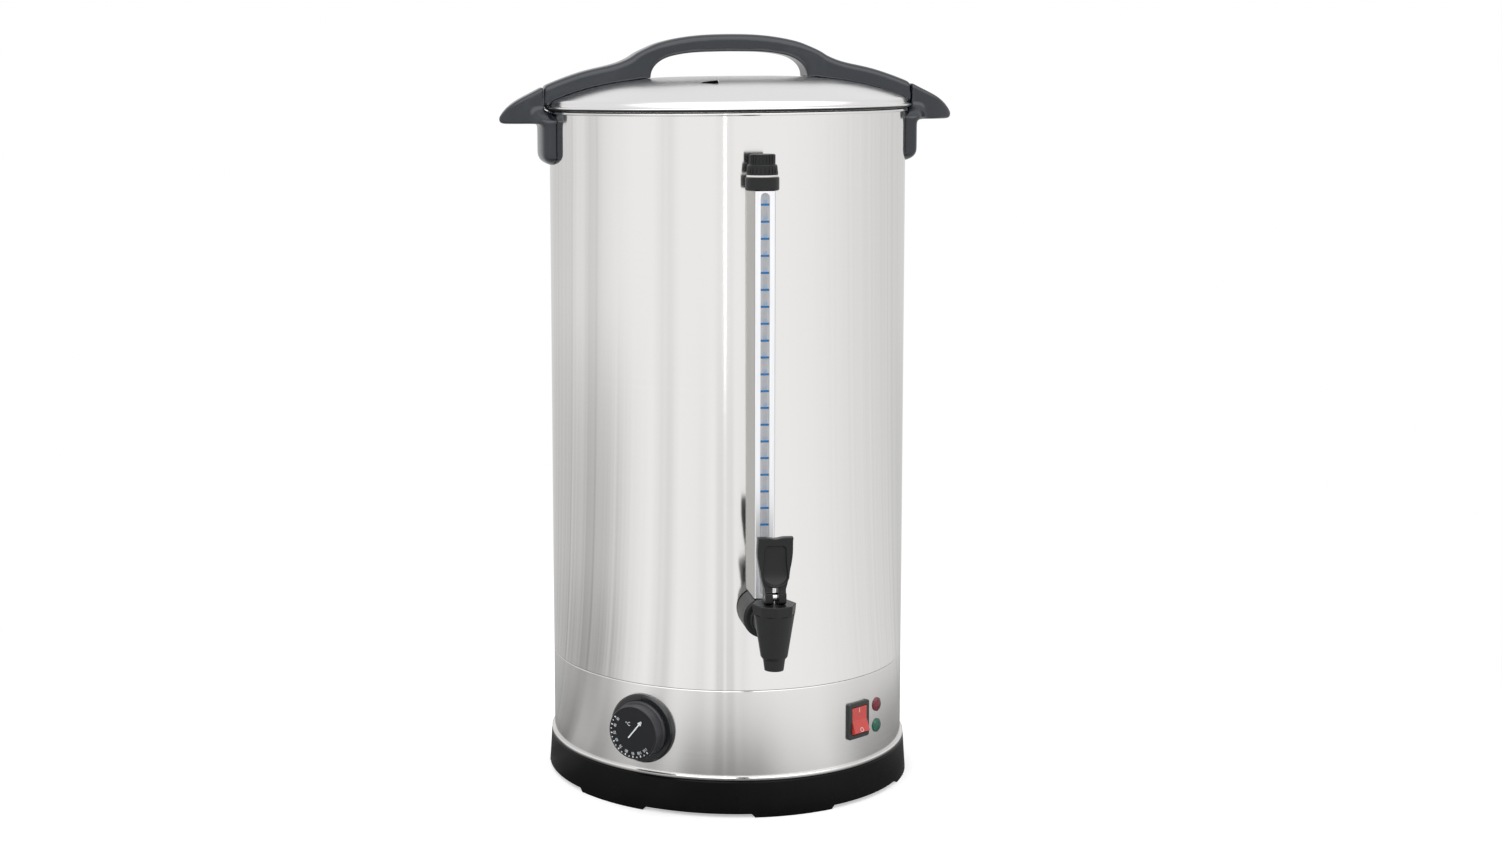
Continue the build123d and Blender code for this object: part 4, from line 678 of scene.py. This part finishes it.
def wider_foot(points):
    """Below the grip the bracket is spread round the wall and drawn in to the wall at its foot.

    Near the wall its angle from the handles' line grows by a share, what stands off the wall shrinks by
    (1 - crown * (y / half)^2) * sqrt(1 - ((foot + draw - z) / draw)^2), and its heights shrink by a share too.
    """
    side = np.sign(points[:, 0])
    radius = np.hypot(points[:, 0], points[:, 1])
    angle = np.arctan2(points[:, 1], points[:, 0] * side)
    near_wall = np.clip((tank_radius + bracket_reach - radius) / bracket_edge, 0, 1)
    below = np.clip((bracket_shoulder - points[:, 2]) / bracket_blend, 0, 1) * near_wall
    across = np.clip(np.abs(points[:, 1]) / bracket_half, 0, 1)
    into_foot = np.clip((bracket_foot + bracket_draw - points[:, 2]) / bracket_draw, 0, 0.985)
    share = (1 - bracket_crown * below * across ** 2) * np.sqrt(1 - into_foot ** 2)
    radius = np.where(radius > tank_radius, tank_radius + (radius - tank_radius) * share, radius)
    angle = angle * (1 + bracket_spread * below)
    height = points[:, 2] + bracket_rise * np.clip(bracket_root - points[:, 2], 0, 1)
    return np.column_stack([side * radius * np.cos(angle), radius * np.sin(angle), height])


def wider_opening(points):
    """The lid handle's opening a few millimetres longer at each end, under the arch and between the legs."""
    under = np.clip((opening_top - points[:, 2]) / opening_fade, 0, 1)
    share = under * np.clip((opening_end - np.abs(points[:, 0])) / opening_end_fade, 0, 1)
    return np.column_stack([points[:, 0] * (1 + opening_stretch * share), points[:, 1], points[:, 2]])


slate_black = moulding("slate_black", (0.016, 0.020, 0.027), 0.16, shine=0.55)
matt_black = moulding("matt_black", (0.011, 0.0115, 0.012), 0.36, grain=1400.0, shine=0.3)
for grip in ("side_handle_right", "side_handle_left"):
    softened(grip, "urn", slate_black, 0.0009, 26, away_from_wall, wider_foot)
softened("lid_handle", "lid", slate_black, 0.0010, 24, above_dome, wider_opening, True)
finish_nodes(zinc, "side_handle_screws", "lid_handle_screws")
lid_sharp = radians(28)


def lathe(name, profile, steps, materials, painted_shade_rows=()):
    """A surface of revolution: the profile's points (radius, height) carried round the upright axis.

    A point on the axis becomes one pole, and the rows of faces named in painted_shade_rows take the second material.
    """
    turn = np.linspace(0, 2 * pi, steps, endpoint=False)
    points, starts = [], []
    for radius, height in profile:
        starts.append(sum(len(row) for row in points))
        if radius < weld_reach:
            points.append(np.array([[0, 0, height]]))
        else:
            around = radius * np.cos(turn), radius * np.sin(turn), np.full(steps, height)
            points.append(np.column_stack(around))
    here = np.arange(steps)
    after = (here + 1) % steps
    faces, marks = [], []
    for i in range(len(profile) - 1):
        low, high = starts[i], starts[i + 1]
        if len(points[i]) == 1:
            new = [(low, high + a, high + b) for a, b in zip(here, after)]
        elif len(points[i + 1]) == 1:
            new = [(low + b, low + a, high) for a, b in zip(here, after)]
        else:
            new = [(low + b, low + a, high + a, high + b) for a, b in zip(here, after)]
        faces += new
        marks += [1 if i in painted_shade_rows else 0] * len(new)
    return skinned(name, np.vstack(points), faces, materials, marks, lid_sharp)


vent_azimuth, vent_radius, vent_long, vent_wide = radians(-17), 0.099, 0.014, 0.004
vent_low, vent_high = 0.594, 0.612


def over_vent(points):
    """Points given across the vent, towards the lid's middle and up from the dome, in the urn's own axes."""
    right, out = (way[:2] for way in facing(vent_azimuth))
    plan = points[:, :1] * right + (vent_radius - points[:, 1:2]) * out
    return np.column_stack([plan, dome_at(np.hypot(plan[:, 0], plan[:, 1])) + points[:, 2]])


def slot_prism(long, wide, low, high, steps=10):
    """The steam slot as a solid: a slot with round ends between two heights, across the vent's radius."""
    turn = np.concatenate([np.linspace(-pi / 2, pi / 2, steps), np.linspace(pi / 2, 3 * pi / 2, steps)])
    middle = np.repeat([long / 2 - wide / 2, wide / 2 - long / 2], steps)
    ring = np.column_stack([middle + wide / 2 * np.cos(turn), wide / 2 * np.sin(turn), np.zeros(2 * steps)])
    ring = over_vent(ring)
    count = len(ring)
    low_ring, high_ring = ring.copy(), ring.copy()
    low_ring[:, 2], high_ring[:, 2] = low, high
    walls = [(i, count + i, count + (i + 1) % count, (i + 1) % count) for i in range(count)]
    ends = [tuple(range(count)), tuple(range(2 * count - 1, count - 1, -1))]
    return np.vstack([low_ring, high_ring]), walls + ends


def pierced(piece, prism):
    """Cuts a prism out of a closed piece and keeps its materials."""
    cutter = joined("cutter", [prism], piece.data.materials[1])
    cut = piece.modifiers.new("cut", "BOOLEAN")
    cut.operation, cut.solver, cut.object = "DIFFERENCE", "EXACT", cutter
    finished_mesh(piece).set_sharp_from_angle(angle=lid_sharp)
    bpy.data.objects.remove(cutter)


hood_back, hood_seat, hood_foot = 0.0032, 0.0001, 0.0003
hood_curl, hood_sharp = 0.07, radians(40)


def steam_hood(long=0.0155, deep=0.0065, tall=0.0021, sheet=0.0003, across=30, along=12):
    """A louvre over the steam slot, pressed up from the lid, with its mouth to the front.

    Its height is tall * s^0.6 * min(1, (1 - s) / curl) * cos(pi v / 2), where s runs across the mouth from
    left to right and v from the mouth to the back.
    """
    s, v = np.meshgrid(np.linspace(0, 1, across), np.linspace(0, 1, along), indexing="ij")
    rise = tall * s ** 0.6 * np.minimum(1, (1 - s) / hood_curl) * np.cos(pi * v / 2)
    plan = [(s.ravel() - 0.5) * long, v.ravel() * deep - hood_back]
    upper = over_vent(np.column_stack([*plan, rise.ravel() + hood_seat]))
    lower = over_vent(np.column_stack([*plan, np.maximum(rise.ravel() - sheet, -hood_foot)]))
    count = across * along
    cell = [(i * along + j, (i + 1) * along + j, (i + 1) * along + j + 1, i * along + j + 1)
            for i in range(across - 1) for j in range(along - 1)]
    rim = ([i * along for i in range(across)] + [(across - 1) * along + j for j in range(1, along)]
           + [i * along + along - 1 for i in range(across - 2, -1, -1)] + list(range(along - 2, 0, -1)))
    edge = [(a, a + count, b + count, b) for a, b in zip(rim, rim[1:] + rim[:1])]
    faces = cell + [tuple(count + k for k in reversed(face)) for face in cell] + edge
    # painted shade: the louvre's underside and edges take the near-black steel
    marks = [0] * len(cell) + [1] * (len(cell) + len(edge))
    skins = np.vstack([upper, lower])
    piece = skinned("steam_hood", skins, faces, (lid_steel, hem_painted_shade), marks, hood_sharp)
    return piece


lid_steel = metal("lid_steel", (0.82, 0.81, 0.80), 0.21, (5, 5, 2200), 0.0001, 0.5, 0.25, 0.01)
lid_sheet, lid_steps = 0.0008, 540
hem_radius, hem_height, hem_roll = 0.1563, 0.58055, 0.0011
bead_radius, bead_height, bead_roll = 0.1531, 0.5766, 0.00143
reach = np.linspace(0, 1, 36)
dome = [(r, dome_at(r)) for r in reach * lid_shoulder]
hem = [(hem_radius + hem_roll * sin(turn), hem_height + hem_roll * cos(turn))
       for turn in np.linspace(0, pi, 13)]
outside = [(0.1511, 0.5869), (0.1522, 0.5860), (0.1531, 0.5845), (0.1537, 0.58275), (0.1546, 0.5819)]
skirt = [(0.1544, 0.57835), (0.15095, 0.57835), (0.15095, 0.56635), (0.15015, 0.56635), (0.15015, 0.57915)]
hollow = [(0.1541, 0.57915), (0.1560, 0.58025), (0.1560, 0.58085), (0.1530, 0.58195), (0.1515, 0.5853)]
under = [(r, z - lid_sheet) for r, z in reversed(dome)]
lid_profile = dome + outside + hem + skirt + hollow + under
# painted shade: the lower half of the hem and the flange under it take a near-black steel, for the shaded gap
# over the rim
painted_shade_first = len(dome) + len(outside) + len(hem) // 2 + 1
painted_shade_rows = range(painted_shade_first, painted_shade_first + 7)
hem_painted_shade = metal("hem_painted_shade", (0.035, 0.036, 0.038), 0.5, (5, 5, 2200), 0.002)
lid_skin = lathe("lid_skin", lid_profile, lid_steps, (lid_steel, hem_painted_shade), painted_shade_rows)
# the cutter carries the lid's second material, its painted shade, onto the slot's walls
pierced(lid_skin, slot_prism(vent_long, vent_wide, vent_low, vent_high))
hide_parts("lid_shell")
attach(lid_skin, "lid")
bead = [(bead_radius + bead_roll * sin(turn), bead_height + bead_roll * cos(turn))
        for turn in np.linspace(0, 2 * pi, 25)]
rim_bead = lathe("rim_bead", bead, lid_steps, (tank_steel,))
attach(rim_bead, "urn")
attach(steam_hood(), "lid")
silicone = moulding("silicone", (0.75, 0.73, 0.7), 0.55)
finish_nodes(silicone, "lid_handle_washers", "gauge_base_gasket", "gauge_tube_seals", "gauge_top_gasket",
             "gauge_cap_seal", "tap_shank_washer", "tap_seat_cup")

# --- Sight gauge -----------------------------------------------------------------------------------
# A glass tube, its back enamelled white, in a folded stainless channel behind a clear window. The window
# is printed with a blue stroke and a number at each litre. A black fitting, a pale washer and a vented cap
# close the top.

faint_skin = 0.00001


def tube_glass(name, colour):
    """Tube glass: nearly clear where it is looked through, denser and greyer towards its two edges."""
    material = bpy.data.materials.new(name)
    tree = emptied(material)
    wave = noise(tree, squeezed(tree, object_place(tree), (600, 600, 8)), 1.0, 2.0)
    edge = add_node(tree, "ShaderNodeLayerWeight", {"Blend": 0.4}).outputs["Facing"]
    return surfaced(material, {
        "Base Color": (*colour, 1), "Roughness": 0.04, "IOR": 1.47,
        "Alpha": span(tree, edge, 0.1, 0.9, 0.10, 0.85, "LINEAR"),
        "Normal": raised_by(tree, wave, faint_skin)})


finish_nodes(tube_glass("gauge_glass", (0.34, 0.38, 0.42)), "gauge_tube")
finish_nodes(metal("channel_steel", (0.90, 0.91, 0.93), 0.48, (900, 900, 12), 0.002), "gauge_channel")
# painted shade: the channel's two side faces take a darker copy of its steel
channel_side_painted_shade = metal("channel_side_painted_shade", (0.50, 0.49, 0.47), 0.34, (900, 900, 12), 0.002)
second_finish("gauge_channel", channel_side_painted_shade, lambda centre, normal: abs(normal[0]) > 0.7)


def haze(name, colour, clear):
    """A thin clear plastic strip: pale, slightly rough, and clearer down its middle than at its edges."""
    material = bpy.data.materials.new(name)
    tree = emptied(material)
    place = object_place(tree)
    side = arithmetic(tree, "ABSOLUTE", axes_of(tree, place)["X"])
    cloud = noise(tree, place, 160.0, 3.0)
    return surfaced(material, {
        "Base Color": mottled(tree, cloud, colour, 0.88, 1.08), "Roughness": 0.22,
        "Alpha": span(tree, side, 0.0012, 0.0034, 1 - clear, 1.0),
        "Normal": raised_by(tree, cloud, faint_skin)})


finish_nodes(haze("window_plastic", (0.56, 0.57, 0.60), 0.35), "gauge_window")
def upright(name):
    """The box of an upright round CAD node: its centre on the plan, its radius, its foot and its top."""
    low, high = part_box(name)
    return ((low[0] + high[0]) / 2, (low[1] + high[1]) / 2), (high[0] - low[0]) / 2, low[2], high[2]


tube_centre, tube_radius, _, _ = upright("gauge_tube")
mark_top, mark_pitch, mark_wide, mark_tall = 0.5068, 0.01341, 0.0068, 0.0017
litre_top, litre_low, litre_size, litre_rise = 30, 8, 0.0035, 0.0024
window_face = -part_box("gauge_window")[0][1]
gauge_blue = moulding("gauge_ink", (0.012, 0.14, 0.36), 0.4, depth=0.005, spread=0.12)
figure_blue = moulding("gauge_figure_ink", (0.10, 0.36, 0.74), 0.4, depth=0.005, spread=0.12)
bar, bar_sides = stroke((-mark_wide / 2, 0), (mark_wide / 2, 0), mark_tall, print_thick)
strokes, figures = [], []
for litre in range(litre_low, litre_top + 1):
    height = mark_top - (litre_top - litre) * mark_pitch
    strokes.append((on_wall(bar, 0.0, window_face, height), bar_sides))
    digits, sides = lettering(str(litre), litre_size, print_thick)
    figures.append((on_wall(digits, 0.0, window_face, height + litre_rise), sides))
for name, parts, ink in (("gauge_strokes", strokes, gauge_blue), ("gauge_figures", figures, figure_blue)):
    printed = joined(name, parts, ink)
    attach(printed, "urn")


def back_strip(radius, wall, half_angle, low, high, place, steps=24):
    """White enamel fused to the back of the tube: an arc of a short tube that faces away from the window."""
    turn = np.linspace(pi / 2 - half_angle, pi / 2 + half_angle, steps)
    section = np.array([[radius, low], [radius + wall, low], [radius + wall, high], [radius, high]])
    grid = np.stack([np.outer(np.cos(turn), section[:, 0]) + place[0],
                     np.outer(np.sin(turn), section[:, 0]) + place[1],
                     np.tile(section[:, 1], (steps, 1))], axis=2)
    faces = [(4 * i + j, 4 * (i + 1) + j, 4 * (i + 1) + (j + 1) % 4, 4 * i + (j + 1) % 4)
             for i in range(steps - 1) for j in range(4)]
    end = 4 * (steps - 1)
    return grid.reshape(-1, 3), faces + [(0, 1, 2, 3), (end + 3, end + 2, end + 1, end)]


enamel = moulding("gauge_enamel", (0.86, 0.86, 0.88), 0.35, depth=0.005, spread=0.03)
enamel_off, enamel_thick, enamel_half = 0.00012, 0.0002, radians(80)
enamel_low, enamel_high = 0.197, mark_top + 0.008
strip = back_strip(tube_radius + enamel_off, enamel_thick, enamel_half, enamel_low, enamel_high, tube_centre)
enamel_back = joined("gauge_enamel_back", [strip], enamel)
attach(enamel_back, "urn")
finish_nodes(matt_black, "gauge_base_fitting", "gauge_top_fitting", "gauge_cap")
finish_nodes(zinc, "gauge_top_nut")

# --- Tap -------------------------------------------------------------------------------------------
# A black moulded body on a threaded shank, an eight-sided bonnet, and a lever whose cam feet lift a
# bright stem against a spring.

finish_nodes(matt_black, "tap_body", "tap_bonnet")
pin_height = 0.20365
paddle_start, paddle_share = 0.010, 0.906
paddle_heights = (0.0070, 0.0113, 0.0155, 0.0184, 0.0283, 0.0368, 0.0453)
paddle_fullness = (1.0, 1.17, 1.24, 1.25, 1.13, 1.08, 1.01)


def fuller_paddle(points):
    """The paddle above the lever's legs a little shorter, and its sides fuller, by a share at each height."""
    rise = points[:, 2] - pin_height
    rise = np.where(rise > paddle_start, paddle_start + (rise - paddle_start) * paddle_share, rise)
    fuller = np.interp(rise, paddle_heights, paddle_fullness)
    return np.column_stack([points[:, 0] * fuller, points[:, 1], rise + pin_height])


def all_free(points):
    """Every point may move."""
    return np.ones(len(points))


softened("tap_lever", "tap_lever", matt_black, 0.00035, 8, all_free, fuller_paddle)
bright_steel = metal("bright_steel", (0.82, 0.82, 0.82), 0.18)
finish_nodes(bright_steel, "tap_stem", "tap_lever_pin")
finish_nodes(zinc, "tap_shank_nut")


def coil(low, high, centre, radius, wire, turns, dead=0.4, along=200, around=12):
    """A compression spring: the wire's circle carried along a helix that lies flat at both ends.

    Its angle is 2 pi turns t, and its height rises in step with the turns past the first and before the
    last dead ones.
    """
    t = np.linspace(0, 1, along)
    angle = 2 * pi * turns * t
    rise = np.clip((turns * t - dead) / (turns - 2 * dead), 0, 1)
    path = np.column_stack([centre[0] + radius * np.cos(angle), centre[1] + radius * np.sin(angle),
                            low + wire + (high - low - 2 * wire) * rise])
    ahead = np.gradient(path, axis=0)
    ahead /= np.linalg.norm(ahead, axis=1)[:, None]
    out = np.column_stack([np.cos(angle), np.sin(angle), np.zeros(along)])
    upward = np.cross(ahead, out)
    ring = np.linspace(0, 2 * pi, around, endpoint=False)
    skin = (path[:, None] + wire * (np.cos(ring)[None, :, None] * out[:, None]
                                    + np.sin(ring)[None, :, None] * upward[:, None]))
    faces = [(i * around + (j + 1) % around, (i + 1) * around + (j + 1) % around, (i + 1) * around + j,
              i * around + j) for i in range(along - 1) for j in range(around)]
    last = (along - 1) * around
    return skin.reshape(-1, 3), faces + [tuple(range(around - 1, -1, -1)), tuple(range(last, last + around))]


spring_centre, spring_radius, spring_low, spring_high = upright("tap_spring")
spring_wire, spring_turns, stem_travel = 0.0006, 5, 0.0028
shape = coil(spring_low, spring_high, spring_centre, spring_radius - spring_wire, spring_wire, spring_turns)
spring = joined("tap_spring_coil", [shape], bright_steel)
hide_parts("tap_spring")
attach(spring, "urn")
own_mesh(spring)
